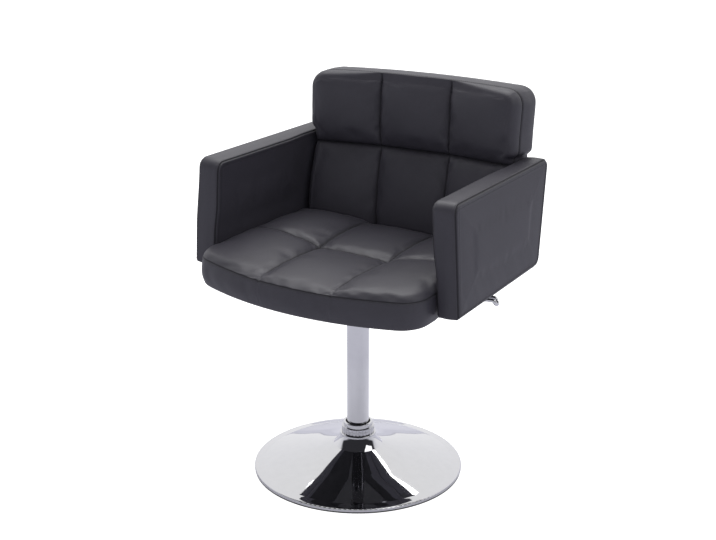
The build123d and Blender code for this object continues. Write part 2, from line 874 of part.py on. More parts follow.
def make_arm_fasteners():
    """Bolts, washers and threaded inserts on both sides, each kind as one group."""
    rail_inside = frame_half_width - rail_width
    washer_start = rail_inside - washer_thickness
    with BuildPart() as inserts:
        for y in arm_bolt_rows:
            with BuildSketch(Plane.YZ.offset(insert_start(y))):
                with Locations((y, arm_bolt_height)):
                    Circle(insert_radius)
                    Circle(arm_bolt_radius + running_fit, mode=Mode.SUBTRACT)
            extrude(amount=insert_length)
        mirror(about=Plane.YZ)
    save(inserts.part, "arm_inserts")

    with BuildPart() as washers:
        with BuildSketch(Plane.YZ.offset(washer_start)):
            with Locations((0, arm_bolt_height)):
                with GridLocations(arm_bolt_pitch, 0, 3, 1):
                    Circle(arm_bolt_head + washer_overhang)
                    Circle(arm_bolt_radius + bolt_clearance, mode=Mode.SUBTRACT)
        extrude(amount=washer_thickness - running_fit)
        mirror(about=Plane.YZ)
    save(washers.part, "arm_washers")

    head_start = washer_start - arm_bolt_head_height
    with BuildPart() as bolts:
        with BuildSketch(Plane.YZ.offset(head_start)):
            with Locations((0, arm_bolt_height)):
                with GridLocations(arm_bolt_pitch, 0, 3, 1):
                    Circle(arm_bolt_head)
                    RegularPolygon(arm_bolt_socket, 6, mode=Mode.SUBTRACT)
        extrude(amount=arm_bolt_head_height)
        shank_start = head_start + arm_bolt_head_height / 2
        shank_end = insert_start(arm_bolt_pitch) + insert_length
        with BuildSketch(Plane.YZ.offset(shank_start)):
            with Locations((0, arm_bolt_height)):
                with GridLocations(arm_bolt_pitch, 0, 3, 1):
                    Circle(arm_bolt_radius)
        extrude(amount=shank_end - shank_start)
        mirror(about=Plane.YZ)
    save(bolts.part, "arm_bolts")


# ================================================================ seat
def block(low, high):
    """A plain box between two corners."""
    with BuildPart() as solid:
        with BuildSketch(Plane.XY.offset(low[2])):
            with Locations(((low[0] + high[0]) / 2, (low[1] + high[1]) / 2)):
                Rectangle(high[0] - low[0], high[1] - low[1])
        extrude(amount=high[2] - low[2])
    return solid.part


def make_seat_frame():
    """Timber rails, the board the seat plate is bolted to, and the plywood deck."""
    inside = frame_half_width - rail_width
    with BuildPart() as side_rail:
        add(block((inside, frame_front, frame_bottom), (frame_half_width, frame_rear, side_rail_top)))
        add(arm_bolt_rods(arm_bolt_radius + bolt_clearance, inside, frame_half_width),
            mode=Mode.SUBTRACT)
    save_pair(side_rail.part, "side_rail")

    rail_x = inside - face_gap
    front_end = frame_front + rail_width
    rear_start = frame_rear - rail_width
    save(block((-rail_x, frame_front, frame_bottom), (rail_x, front_end, deck_bottom)), "front_rail")
    with BuildPart() as rear_rail:
        add(block((-rail_x, rear_start, frame_bottom), (rail_x, frame_rear, deck_bottom)))
        add(rail_screws(bracket_screw_radius + running_fit, frame_rear, -rail_width), mode=Mode.SUBTRACT)
    save(rear_rail.part, "rear_rail")

    with BuildPart() as mounting_board:
        add(
            block(
                (-board_half_width, front_end + face_gap, frame_bottom),
                (board_half_width, rear_start - face_gap, frame_bottom + board_thickness),
            )
        )
        with BuildSketch(Plane.XY.offset(frame_bottom)):
            with GridLocations(plate_bolt_spacing, plate_bolt_spacing, 2, 2):
                Circle(plate_bolt_radius + tee_nut_wall + running_fit)
        extrude(amount=board_thickness, mode=Mode.SUBTRACT)
    save(mounting_board.part, "mounting_board")
    deck = block(
        (-deck_half_width, frame_front, deck_bottom + face_gap),
        (deck_half_width, frame_rear, deck_top),
    )
    save(deck, "seat_deck")


def seat_outline(inset):
    """Plan of the seat: bowed front, sides along the arms, rear edge along the hollow back."""
    side_top = seat_bottom + seat_side_height
    wide = arm_inner_x(seat_side_front, side_top) - soft_gap
    side_rear = seat_rear - seat_rear_bow
    narrow = arm_inner_x(side_rear, side_top) - soft_gap
    side_front = seat_front + seat_front_bow
    with BuildSketch() as outline:
        with BuildLine():
            ThreePointArc((-wide, side_front), (0, seat_front), (wide, side_front))
            Line((wide, side_front), (narrow, side_rear))
            ThreePointArc((narrow, side_rear), (0, seat_rear), (-narrow, side_rear))
            Line((-narrow, side_rear), (-wide, side_front))
        make_face()
        fillet(outline.vertices().group_by(Axis.Y)[0], seat_corner)
        fillet(outline.vertices().group_by(Axis.Y)[-1], seat_rear_corner)
        if inset > 0:
            offset(amount=-inset, mode=Mode.REPLACE)
    return outline.sketch


# seat crown: distance from the column, then the heights of the fore-and-aft seams, of the middle
# panel, of the side panels and of the outer edge
seat_front_row = [
    (-262.0, 459.0, 460.5, 461.0, 460.0),
    (-135.0, 467.0, 475.0, 481.0, 462.0),
    (cross_seam_y, 457.0, 461.5, 478.0, 463.0),
]
seat_rear_row = [
    (cross_seam_y, 457.0, 461.5, 478.0, 463.0),
    (85.0, 463.0, 470.0, 480.0, 464.0),
    (205.0, 447.0, 449.5, 463.0, 466.0),
]


def seat_crown(rows, inset):
    """A row of three puffed panels: cross-sections lofted from front to rear."""
    wide = crown_half_width
    middle = (seam_x + wide) / 2
    with BuildPart() as crown:
        for y, seam, centre, side, edge in rows:
            with BuildSketch(Plane.XZ.offset(-y)):
                with BuildLine():
                    Line((-wide, 0), (wide, 0))
                    Line((wide, 0), (wide, edge - inset))
                    ThreePointArc((wide, edge - inset), (middle, side - inset), (seam_x, seam - inset))
                    ThreePointArc((seam_x, seam - inset), (0, centre - inset), (-seam_x, seam - inset))
                    ThreePointArc((-seam_x, seam - inset), (-middle, side - inset), (-wide, edge - inset))
                    Line((-wide, edge - inset), (-wide, 0))
                make_face()
        loft()
    return crown.part


def seat_form(inset):
    """The seat cushion's crowned form, drawn in by inset."""
    with BuildPart() as crown:
        add(seat_crown(seat_front_row, inset))
        add(seat_crown(seat_rear_row, inset))
    with BuildPart() as form:
        with BuildSketch(Plane.XY.offset(seat_bottom + inset)):
            add(seat_outline(inset))
        extrude(amount=cutter)
        fillet(form.edges().group_by(Axis.Z)[0], seat_lower_edge - inset)
        add(crown.part, mode=Mode.INTERSECT)
        add(back_panels(back_lower_row, -soft_gap - inset), mode=Mode.SUBTRACT)
    return form.part


def make_seat_cushion():
    """Leather cover, foam round the frame, and the cloth that closes the underside."""
    foam_inset = cover_wall + soft_gap
    edge = frame_half_width + soft_gap
    front = frame_front - soft_gap
    rear = frame_rear + soft_gap
    with BuildPart() as cut:
        add(bracket_way())
        add(arm_bolt_rods(arm_bolt_radius + bolt_clearance, frame_half_width, arm_outer))
        mirror(about=Plane.YZ)
    window = block(
        (flange_width - frame_half_width, frame_front + flange_width / 2, 0),
        (frame_half_width - flange_width, frame_rear - flange_width / 2, frame_bottom),
    )
    with BuildPart() as seat_cover:
        add(seat_form(0))
        add(seat_form(cover_wall), mode=Mode.SUBTRACT)
        add(window, mode=Mode.SUBTRACT)
        add(cut.part, mode=Mode.SUBTRACT)
    save(seat_cover.part, "seat_cover")

    with BuildPart() as pocket:
        add(block((-edge, front, 0), (edge, rear, deck_top + soft_gap)))
        add(block((deck_half_width, front, 0), (edge, rear, side_rail_top + soft_gap)))
        mirror(about=Plane.YZ)
    with BuildPart() as seat_foam:
        add(seat_form(foam_inset))
        add(pocket.part, mode=Mode.SUBTRACT)
        add(cut.part, mode=Mode.SUBTRACT)
    save(seat_foam.part, "seat_foam")

    cloth_top = seat_bottom - face_gap
    cloth_bottom = cloth_top - dust_cover_thickness
    half = frame_half_width - dust_cover_edge
    with BuildPart() as dust_cover:
        add(
            block(
                (-half, frame_front + dust_cover_edge / 2, cloth_bottom),
                (half, frame_rear - dust_cover_edge / 2, cloth_top),
            )
        )
        Box(plate_size + plate_window, plate_size + plate_window, cutter * 2, mode=Mode.SUBTRACT)
    save(dust_cover.part, "dust_cover")


# ================================================================ back
back_plane = Plane(
    origin=(0, back_rear, back_bottom),
    x_dir=(1, 0, 0),
    z_dir=(0, -cos(radians(back_lean)), sin(radians(back_lean))),
)


def board_front(z):
    """How far back the front face of the back board is at one height."""
    depth = back_board_cover + back_board_thickness
    return back_rear - depth / cos(radians(back_lean)) + rear_slope * (z - back_bottom)


def bracket_profile(gap):
    """Side view of the offset bracket, grown by gap: rear rail flange, web and back board leg."""
    web = frame_bottom + bracket_lift
    rail_face = frame_rear + face_gap
    thick = bracket_thickness
    with BuildSketch() as profile:
        with BuildLine():
            Polyline(
                (rail_face, web),
                (board_front(web) - face_gap, web),
                (board_front(web + bracket_rise) - face_gap, web + bracket_rise),
                (board_front(web + bracket_rise) - face_gap - thick, web + bracket_rise),
                (board_front(web + thick) - face_gap - thick, web + thick),
                (rail_face + thick, web + thick),
                (rail_face + thick, web + bracket_drop),
                (rail_face, web + bracket_drop),
                close=True,
            )
        make_face()
        if gap > 0:
            offset(amount=gap, kind=Kind.INTERSECTION)
    return profile.sketch


def bracket_way():
    """Room round both brackets and their screw heads in the padding."""
    width = bracket_width + 2 * soft_gap
    with BuildPart() as way:
        for side in (-1, 1):
            with BuildSketch(Plane.YZ.offset(side * bracket_offset - width / 2)):
                add(bracket_profile(bracket_room))
            extrude(amount=width)
    return way.part


def rail_screws(radius, start, length):
    """Rods along Y at the four screws that hold the brackets to the rear rail."""
    height = frame_bottom + bracket_lift + (bracket_drop + bracket_thickness) / 2
    with BuildPart() as rods:
        with BuildSketch(Plane.XZ.offset(-start)):
            with Locations((0, height)):
                with GridLocations(2 * bracket_offset, 0, 2, 1):
                    with GridLocations(bracket_screw_spacing, 0, 2, 1):
                        Circle(radius)
        extrude(amount=-length)
    return rods.part


def board_screws(radius, length, lift):
    """Rods square to the back board at the screws that hold the brackets to it."""
    depth = back_board_cover + back_board_thickness + face_gap + bracket_thickness + lift
    with BuildPart() as rods:
        with BuildSketch(back_plane.offset(depth)):
            for height in bracket_screw_heights:
                with Locations((-bracket_offset, height), (bracket_offset, height)):
                    Circle(radius)
        extrude(amount=-length)
    return rods.part


def make_brackets():
    """Offset steel brackets between the seat frame and the back board, and their screws."""
    hole = bracket_screw_radius + bolt_clearance
    through = 3 * bracket_thickness
    with BuildPart() as holes:
        add(rail_screws(hole, frame_rear + through, -2 * through))
        add(board_screws(hole, 2 * through, through))
    for side, name in ((-1, "back_bracket_left"), (1, "back_bracket_right")):
        with BuildPart() as bracket:
            with BuildSketch(Plane.YZ.offset(side * bracket_offset - bracket_width / 2)):
                add(bracket_profile(0))
            extrude(amount=bracket_width)
            add(holes.part, mode=Mode.SUBTRACT)
        save(bracket.part, name)
    head = bracket_screw_head_height
    head_top = running_fit + head
    shank = head_top + bracket_thickness + bracket_screw_length
    face = frame_rear + face_gap + bracket_thickness
    with BuildPart() as bracket_screws:
        add(rail_screws(bracket_screw_radius, face + head_top, -shank))
        add(rail_screws(bracket_screw_head, face + head_top, -head))
        add(board_screws(bracket_screw_radius, shank, head_top))
        add(board_screws(bracket_screw_head, head, head_top))
    save(bracket_screws.part, "bracket_screws")


def back_outline(inset):
    """Front view of the back in its own leaning plane: held in between the arms, crowned on top."""
    up = cos(radians(back_lean))
    low = arm_inner_x(back_rear, back_bottom) - soft_gap
    waist_rise = (back_waist_height - back_bottom) / up
    over_rise = waist_rise + back_overhang_rise
    over = back_waist + back_overhang
    shoulder = (back_top - back_crown - back_bottom) / up
    with BuildSketch() as outline:
        with BuildLine():
            Line((-low, 0), (low, 0))
            Line((low, 0), (back_waist, waist_rise))
            Line((back_waist, waist_rise), (over, over_rise))
            Line((over, over_rise), (back_half_top, shoulder))
            ThreePointArc((back_half_top, shoulder), (0, shoulder + back_crown), (-back_half_top, shoulder))
            Line((-back_half_top, shoulder), (-over, over_rise))
            Line((-over, over_rise), (-back_waist, waist_rise))
            Line((-back_waist, waist_rise), (-low, 0))
        make_face()
        fillet(outline.vertices().group_by(Axis.Y)[-1], back_corner)
        fillet(outline.vertices().group_by(Axis.Y)[0], back_rear_round)
        waist_level = waist_rise + back_overhang_rise / 2
        at_waist = [v for v in outline.vertices() if abs(v.Y - waist_level) < back_overhang_rise]
        fillet(at_waist, back_waist_round)
        if inset > 0:
            offset(amount=-inset, mode=Mode.REPLACE)
    return outline.sketch


# back front: height, then how far back the upright seams lie, how far the panels stand forward of
# them, and how much of the hollow the section has
back_lower_row = [
    (395.0, 194.0, 4.0, 1.0),
    (505.0, 187.0, 8.0, 1.0),
    (back_seam_z, 208.0, 3.0, 1.0),
]
back_upper_row = [
    (back_seam_z, 208.0, 3.0, 1.0),
    (642.0, 203.0, 8.0, 1.0),
    (692.0, 203.0, 8.0, 1.0),
    (745.0, 207.0, 5.0, 0.75),
    (778.0, 230.0, 1.0, 0.1),
]


def back_panels(rows, inset):
    """A row of three puffed panels over a hollow front: plan sections lofted upwards."""
    wide = crown_half_width
    edge_x = back_half_top - back_edge_inset
    middle = (seam_x + edge_x) / 2
    side_x = back_half_top + cover_wall
    turn_x = side_x - back_turn_width
    rear_y = cutter
    with BuildPart() as panels:
        for z, seam, puff, share in rows:
            seam_y = seam + inset
            hollow = share / (2 * back_hollow_radius)
            centre_y = seam_y + hollow * seam_x**2 - puff
            middle_y = seam_y - hollow * (middle**2 - seam_x**2) - puff
            edge_y = seam_y - hollow * (edge_x**2 - seam_x**2) - puff / 3
            side_y = back_rear + rear_slope * (z - back_bottom) - back_boxing + inset
            turn_y = edge_y + back_turn_share * (side_y - edge_y)
            with BuildSketch(Plane.XY.offset(z)):
                with BuildLine():
                    Line((-wide, rear_y), (wide, rear_y))
                    Line((wide, rear_y), (wide, side_y))
                    Line((wide, side_y), (side_x, side_y))
                    ThreePointArc((side_x, side_y), (turn_x, turn_y), (edge_x, edge_y))
                    ThreePointArc((edge_x, edge_y), (middle, middle_y), (seam_x, seam_y))
                    ThreePointArc((seam_x, seam_y), (0, centre_y), (-seam_x, seam_y))
                    ThreePointArc((-seam_x, seam_y), (-middle, middle_y), (-edge_x, edge_y))
                    ThreePointArc((-edge_x, edge_y), (-turn_x, turn_y), (-side_x, side_y))
                    Line((-side_x, side_y), (-wide, side_y))
                    Line((-wide, side_y), (-wide, rear_y))
                make_face()
        loft()
    return panels.part


def back_form(inset):
    """The back cushion's form, drawn in by inset."""
    with BuildPart() as panels:
        add(back_panels(back_lower_row, inset))
        add(back_panels(back_upper_row, inset))
    plane = back_plane.offset(inset)
    with BuildPart() as form:
        with BuildSketch(plane):
            add(back_outline(inset))
        extrude(amount=cutter / 4)
        fillet(form.faces().sort_by(Axis.Y)[-1].edges(), back_rear_round - inset)
        add(panels.part, mode=Mode.INTERSECT)
    return form.part


def make_back():
    """Leather cover, foam, and the plywood board that the brackets hold."""
    foam_inset = cover_wall + soft_gap
    board_half = back_half_top - back_board_inset
    board_height = back_top - back_bottom - back_board_inset - back_board_lift
    board_centre = back_board_lift + board_height / 2
    way = bracket_way()
    shank = 2 * (bracket_screw_length + bracket_thickness)
    board_holes = board_screws(bracket_screw_radius + running_fit, shank, bracket_room)
    with BuildPart() as back_board:
        with BuildSketch(back_plane.offset(back_board_cover)):
            with Locations((0, board_centre)):
                RectangleRounded(2 * board_half, board_height, back_board_inset)
        extrude(amount=back_board_thickness)
        add(board_holes, mode=Mode.SUBTRACT)
    save(back_board.part, "back_board")

    with BuildPart() as pocket:
        with BuildSketch(back_plane.offset(back_board_cover - soft_gap)):
            with Locations((0, board_centre)):
                RectangleRounded(
                    2 * (board_half + soft_gap), board_height + 2 * soft_gap, back_board_inset
                )
        extrude(amount=back_board_thickness + 2 * soft_gap)
    with BuildPart() as back_cover:
        add(back_form(0))
        add(back_form(cover_wall), mode=Mode.SUBTRACT)
        add(way, mode=Mode.SUBTRACT)
    save(back_cover.part, "back_cover")
    with BuildPart() as back_foam:
        add(back_form(foam_inset))
        add(pocket.part, mode=Mode.SUBTRACT)
        add(way, mode=Mode.SUBTRACT)
    save(back_foam.part, "back_foam")


os.makedirs("parts", exist_ok=True)
make_base_shell()
make_floor_ring()
make_ballast()
make_hub_socket()
make_collar()
make_column()
make_thrust_bearing()
make_piston_rod()
make_pressure_tube()
make_seat_plate()
make_plate_fasteners()
make_rocker()
make_lever_handle()
make_arms()
make_arm_fasteners()
make_seat_frame()
make_seat_cushion()
make_brackets()
make_back()
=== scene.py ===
import json
import math

import bpy
import numpy as np
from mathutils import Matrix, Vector
from mathutils.bvhtree import BVHTree


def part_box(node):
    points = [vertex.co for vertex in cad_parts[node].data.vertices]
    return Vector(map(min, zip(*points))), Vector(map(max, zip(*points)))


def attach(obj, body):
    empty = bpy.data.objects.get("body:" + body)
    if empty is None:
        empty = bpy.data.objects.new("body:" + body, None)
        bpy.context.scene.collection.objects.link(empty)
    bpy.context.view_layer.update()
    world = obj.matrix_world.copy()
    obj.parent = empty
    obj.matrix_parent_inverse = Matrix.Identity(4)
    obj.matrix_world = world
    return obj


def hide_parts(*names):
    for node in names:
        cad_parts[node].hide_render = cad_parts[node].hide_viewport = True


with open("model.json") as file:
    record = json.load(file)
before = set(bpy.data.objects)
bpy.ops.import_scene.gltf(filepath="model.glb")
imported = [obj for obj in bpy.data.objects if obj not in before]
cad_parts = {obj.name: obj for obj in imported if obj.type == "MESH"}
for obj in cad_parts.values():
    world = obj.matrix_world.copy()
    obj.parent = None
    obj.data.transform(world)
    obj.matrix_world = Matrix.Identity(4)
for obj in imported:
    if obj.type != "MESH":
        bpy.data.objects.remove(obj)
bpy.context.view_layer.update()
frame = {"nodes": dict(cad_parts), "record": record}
nodes = frame["nodes"]
scene = bpy.context.scene

# Padded swivel armchair: charcoal leather seat, back and box arms on a chrome gas lift and base.
# Metres, in the model's own frame. Lengths named in millimetres are multiplied by MM where used.
MM = 0.001

# ---------------------------------------------------------------- camera, as in the photograph
CAMERA_TURN = math.radians(33.2)
CAMERA_PITCH = math.radians(19.46)
CAMERA_DISTANCE = 2.9477
CAMERA_HEIGHT = 1.4638
CAMERA_LENS = 80.36
SENSOR_WIDTH = 36.0
CAMERA_CLIP = 50.0

# ---------------------------------------------------------------- cushions, millimetres
# The seams of the seat and back, how their grids are divided, and the rays that find their shape.
SEAM_X = 80.0
PANEL_COLUMNS = (20, 24, 20)
SEAM_COLUMNS = (PANEL_COLUMNS[0], PANEL_COLUMNS[0] + PANEL_COLUMNS[1])
PANEL_CROWDING = 0.8
OUTLINE_REACH = 500.0
OUTLINE_COUNT = 720
OUTLINE_STRAY = 4.0
SURFACE_STRAY = 1.2
GROOVE_WIDTH = 2.8
# Seat.
SEAT_ROWS = (28, 26)
SEAT_CORNERS = [(-1.0, -0.95), (1.0, -0.95), (1.0, 1.1), (-1.0, 1.1)]
SEAT_CENTRE = (0.0, -20.0)
SEAT_OUTLINE_HEIGHT = 440.0
SEAT_FRONT_SEAM_Z = 460.5
SEAT_REAR_SEAM_Z = 466.0
SEAT_CROSS_SEAM_Y = -16.0
SEAT_CROSS_BOW = 9.0
SEAT_SEAM_SKEW = 0.07
SEAT_FACE_INSET = 1.2
SEAT_UNDER_INSET = 14.0
SEAT_RISE = 15.0
SEAT_SEAM_DROP = 0.9
SEAT_GROOVE = 3.2
SEAT_TUFT = 1.8
SEAT_NOTCH = 1.3
SEAT_PUFF = 0.9
SEAT_CREASE = 0.35
SEAT_BELLY = 2.0
SEAT_LOWER_EDGE = 8.0
SEAT_SWELL = 2.2
SEAT_SIDE_SWELL = 2.0
# Back, square to its lean.
BACK_ROWS = (22, 24)
BACK_CORNERS = [(-1.0, -1.3), (1.0, -1.3), (1.0, 1.25), (-1.0, 1.25)]
BACK_LEAN = math.radians(4.2)
BACK_SEAM_Z = 612.0
BACK_CENTRE_Z = 590.0
BACK_BOXING = 63.0
BACK_SKEW = 0.03
BACK_ROUND = 18.0
BACK_ROUND_POWER = 0.85
BACK_ROUND_STEPS = 8
BACK_CROWN = 4.0
BACK_GROOVE = 5.0
BACK_CROSS_GROOVE = 9.0
BACK_CROSS_WIDTH = 5.3
BACK_PINCH = 1.3
BACK_PINCH_HEIGHT = 150.0
BACK_PUFF = 1.8
BACK_RIDGE = 1.6
BACK_CREASE = 0.4
BACK_FLAT_HALF_WIDTH = 225.0
BACK_FLAT_TOP = 112.0
BACK_HALF_WIDTH = 236.3
BACK_ARM_TOP = 43.5
BACK_ARM_TOP_STEP = 3.5
BACK_FREE_HEIGHT = 62.0
BACK_FULLER = 2.5
BACK_REAR_ROUND = 9.0
BACK_REAR_INSET = 11.0
BACK_SWELL = 3.0
BACK_SIDE_SWELL = 1.2
BACK_REAR_SWELL = 2.5
# Arms.
ARM_CELLS = (72, 56)
ARM_CROWDING = 0.85
ARM_CORNERS = [(-1.0, -1.2), (0.9, -1.2), (0.8, 1.2), (-1.0, 1.2)]
ARM_TOE_IN = math.radians(1.9)
ARM_LEAN = math.radians(2.93)
ARM_CORNER = (299.4, -126.5, 419.0)
ARM_THICKNESS = 46.6
ARM_FRONT_TOP = 636.0
ARM_REAR_TOP = 633.0
ARM_REAR_BOTTOM = 426.0
ARM_TOP_LENGTH = 388.7
ARM_BOTTOM_LENGTH = 337.7
ARM_ROUNDS = (4.0, 22.0, 16.0, 20.0)
ARM_INSET = 7.0
ARM_BAND = ((-0.6, -0.38), (-0.8, -0.5), (-0.6, -0.62))
ARM_INNER_SWELL = 4.5
ARM_OUTER_SWELL = 6.0
ARM_TOPSTITCH_LINE = 7
ARM_TOPSTITCH_DEPTH = 0.8
ARM_BORDER = 0.5
ARM_CREASE = 0.22
ARM_CROWN = 2.0
ARM_LOW_PULL = 0.8
ARM_SWELL = 1.6
# Filling and sewing. Fullness is the share of cloth to spare, and fill how full the cushion is.
FILLING_PRESSURE = 3.0
CLOTH_FRAMES = 20
LEATHER_CLOTH = {
    "quality": 6, "mass": 0.35, "tension_stiffness": 18.0, "compression_stiffness": 18.0,
    "shear_stiffness": 8.0, "bending_stiffness": 0.8,
}
PANEL_FULLNESS = 0.012
ARM_FULLNESS = 0.003
STITCH_PITCH = 4.6
STITCH_LENGTH = 3.3
THREAD_RADIUS = 0.35

# ---------------------------------------------------------------- finishes, linear colours
LEATHER_TONES = [
    (0.3, (0.0300, 0.0284, 0.0368)), (0.5, (0.0340, 0.0322, 0.0417)), (0.7, (0.0380, 0.0360, 0.0466)),
]
LEATHER_GRAIN = (0.0180, 0.0172, 0.0215)
# Near-black painted shade for the sewn valleys, mixed in by the seam-shade attribute.
LEATHER_SEAM_SHADE = (0.004, 0.004, 0.006)
PEBBLES_PER_METRE = 620.0
SCRATCHES_PER_METRE = (900.0, 900.0, 40.0)
CHROME = (0.64, 0.64, 0.655)
CHROME_ROUGHNESS = 0.035
# How far the spun base's gloss leans outwards, as a share at each radius in metres.
DISH_LEAN = [(0.120, 0.0), (0.160, 0.06), (0.190, 0.09), (0.193, 0.14), (0.206, 0.14), (0.208, 0.0)]

# ---------------------------------------------------------------- studio, metres and linear colours
WHITE = (1.0, 1.0, 1.0)
FLOOR_REACH = 12.0
# Floor colour by distance from the chair, for rays other than the camera's: painted shade, greying
# outwards as the light falls off.
FLOOR_TONES = [(0.25, (0.70, 0.70, 0.76)), (0.60, (0.52, 0.52, 0.58))]
FLOOR_PAPER = (0.62, 0.62, 0.62)
FLOOR_GLOW = 0.78
WALL_TONES = [(0.0, (0.84, 0.84, 0.91)), (0.45, (0.68, 0.68, 0.74)), (0.75, (1.05, 1.05, 1.07))]
CEILING = (1.05, 1.05, 1.05)
DARK_BAND = (0.035, 0.035, 0.04)
# Name, place, aim, width and power of each lamp.
LAMPS = [
    ("overhead", (-0.5, 0.8, 2.9), (0.0, 0.0, 0.4), 2.0, 46.0),
    ("right_fill", (2.5, 0.3, 2.6), (0.0, 0.0, 0.5), 1.8, 18.0),
]


# ================================================================ shader maths
class Value:
    """A number or colour that varies over a surface; arithmetic on it adds Math nodes."""

    def __init__(self, graph, socket):
        self.graph = graph
        self.socket = socket

    def _math(self, operation, other):
        return self.graph.node("ShaderNodeMath", {"operation": operation}, self, other)

    def __add__(self, other):
        return self._math("ADD", other)

    def __sub__(self, other):
        return self._math("SUBTRACT", other)

    def __mul__(self, other):
        return self._math("MULTIPLY", other)

    __radd__ = __add__
    __rmul__ = __mul__


class Graph:
    """The emptied node tree of a material or of the world, with methods that add nodes."""

    def __init__(self, owner):
        owner.use_nodes = True
        self.owner = owner
        self.tree = owner.node_tree
        self.tree.nodes.clear()

    def node(self, kind, settings=None, *values, out=0, **named):
        made = self.tree.nodes.new(kind)
        for key, value in (settings or {}).items():
            setattr(made, key, value)
        for key, value in [*enumerate(values), *named.items()]:
            socket = made.inputs[key if isinstance(key, int) else key.replace("_", " ")]
            if isinstance(value, Value):
                self.tree.links.new(value.socket, socket)
            elif value is not None:
                socket.default_value = value
        return Value(self, made.outputs[out])

    def vector(self, operation, *values, out=0):
        return self.node("ShaderNodeVectorMath", {"operation": operation}, *values, out=out)

    def noise(self, where, scale, detail=3.0, roughness=0.55):
        return self.node("ShaderNodeTexNoise", {}, where, Scale=scale, Detail=detail, Roughness=roughness)

    def ramp(self, value, stops):
        """A colour ramp from (position, grey or colour) pairs."""
        made = self.node("ShaderNodeValToRGB", {}, value)
        elements = made.socket.node.color_ramp.elements
        elements.remove(elements[-1])
        for index, (position, tone) in enumerate(stops):
            element = elements.new(position) if index else elements[0]
            element.position = position
            element.color = (*tone, 1.0) if isinstance(tone, tuple) else (tone, tone, tone, 1.0)
        return made

    def mix(self, share, first, second):
        """Two colours mixed by a share that varies."""
        made = self.tree.nodes.new("ShaderNodeMix")
        made.data_type = "RGBA"
        for index, value in ((0, share), (6, first), (7, second)):
            if isinstance(value, Value):
                self.tree.links.new(value.socket, made.inputs[index])
            else:
                made.inputs[index].default_value = (*value, 1.0)
        return Value(self, made.outputs[2])

    def bump(self, height, strength, distance, normal=None):
        return self.node(
            "ShaderNodeBump", {}, Strength=strength, Distance=distance, Height=height, Normal=normal
        )

    def ray(self, kind):
        """1 for light rays of one kind, else 0."""
        return self.node("ShaderNodeLightPath", {}, out=f"Is {kind} Ray")

    def end(self, kind, last):
        """Link the last node to the output, and hand back the material or world."""
        output = self.tree.nodes.new(kind)
        self.tree.links.new(last.socket, output.inputs["Surface"])
        return self.owner


def new_material(name):
    """The graph of a new material, and the place on its object, in metres."""
    graph = Graph(bpy.data.materials.new(name))
    return graph, graph.node("ShaderNodeTexCoord", {}, out="Object")


def finished(graph, colour, roughness, relief, **constants):
    """The material with its shader: constants sit on the shader's sockets, the rest is linked."""
    shader = graph.node(
        "ShaderNodeBsdfPrincipled", {}, Base_Color=colour, Roughness=roughness, Normal=relief, **constants
    )
    return graph.end("ShaderNodeOutputMaterial", shader)


# ================================================================ finishes
def leather_finish():
    """Fine-grained matte charcoal faux leather: pebbled grain, soft creases, and painted shade darkening
    the sewn valleys.
    """
    graph, where = new_material("charcoal_leather")
    warp = graph.noise(where, 260.0, 2.0)
    bent = graph.vector("MULTIPLY_ADD", warp, (0.0018,) * 3, where)
    cells = graph.node(
        "ShaderNodeTexVoronoi", {"feature": "DISTANCE_TO_EDGE"}, bent, Scale=PEBBLES_PER_METRE
    )
    pebbles = graph.ramp(cells, [(0.0, 0.0), (0.16, 0.75), (0.45, 1.0)])
    fine = graph.noise(where, 1900.0, 2.0)
    creases = graph.noise(where, 34.0, 4.0, 0.6)
    broad = graph.noise(where, 7.0, 2.0)
    painted_seam_shade = graph.node("ShaderNodeAttribute", {"attribute_name": "painted_seam_shade"}, out="Fac")
    tone = graph.ramp(broad * 0.5 + creases * 0.5, LEATHER_TONES)
    grain_tone = graph.mix(0.7 + pebbles * 0.3, LEATHER_GRAIN, tone)
    # painted shade: the seam-shade attribute darkens the colour in the sewn valleys and roughens it there
    colour = graph.mix(painted_seam_shade * 0.85, grain_tone, LEATHER_SEAM_SHADE)
    roughness = 0.46 + 0.08 * creases + 0.3 * painted_seam_shade - 0.04 * pebbles
    soft = graph.bump(creases, 0.10, 0.0012)
    relief = graph.bump(pebbles * 0.8 + fine * 0.2, 0.16, 0.00022, soft)
    return finished(graph, colour, roughness, relief, IOR=1.47, Specular_IOR_Level=0.45)


def thread_finish():
    """Waxed black sewing thread, twisted."""
    graph, where = new_material("waxed_thread")
    twist = graph.noise(where, 2400.0, 1.0)
    colour = graph.ramp(twist, [(0.35, (0.020, 0.020, 0.023)), (0.65, (0.045, 0.045, 0.051))])
    relief = graph.bump(twist, 0.3, 0.0001)
    return finished(graph, colour, 0.5 + 0.1 * twist, relief, Specular_IOR_Level=0.4)


def leaning_outwards(graph, where, stops):
    """The surface's normal, leaning away from the upright axis by a share that follows the radius."""
    flat = graph.vector("MULTIPLY", where, (1.0, 1.0, 0.0))
    share = graph.ramp(graph.vector("LENGTH", flat, out="Value"), stops)
    facing = graph.node("ShaderNodeNewGeometry", {}, out="Normal")
    leaning = graph.vector("MULTIPLY_ADD", graph.vector("NORMALIZE", flat), share, facing)
    return graph.vector("NORMALIZE", leaning)


def metal_finish(name, colour, rough, streak=0.0, lean=()):
    """Bare or plated metal: a faint mottling, and drawn scratches where there is a streak."""
    graph, where = new_material(name)
    facing = leaning_outwards(graph, where, lean) if lean else None
    stretched = graph.node("ShaderNodeMapping", {}, where, Scale=SCRATCHES_PER_METRE)
    scratches = graph.noise(stretched, 1.0, 2.0)
    mottle = graph.noise(where, 60.0, 3.0)
    pale = tuple(min(1.0, c * 1.03) for c in colour)
    dull = tuple(c * 0.96 for c in colour)
    tone = graph.mix(mottle, dull, pale)
    roughness = rough * (0.8 + 0.4 * mottle) + streak * scratches
    relief = graph.bump(scratches, 0.02 + streak, 0.00005, facing)
    return finished(graph, tone, roughness, relief, Metallic=1.0)


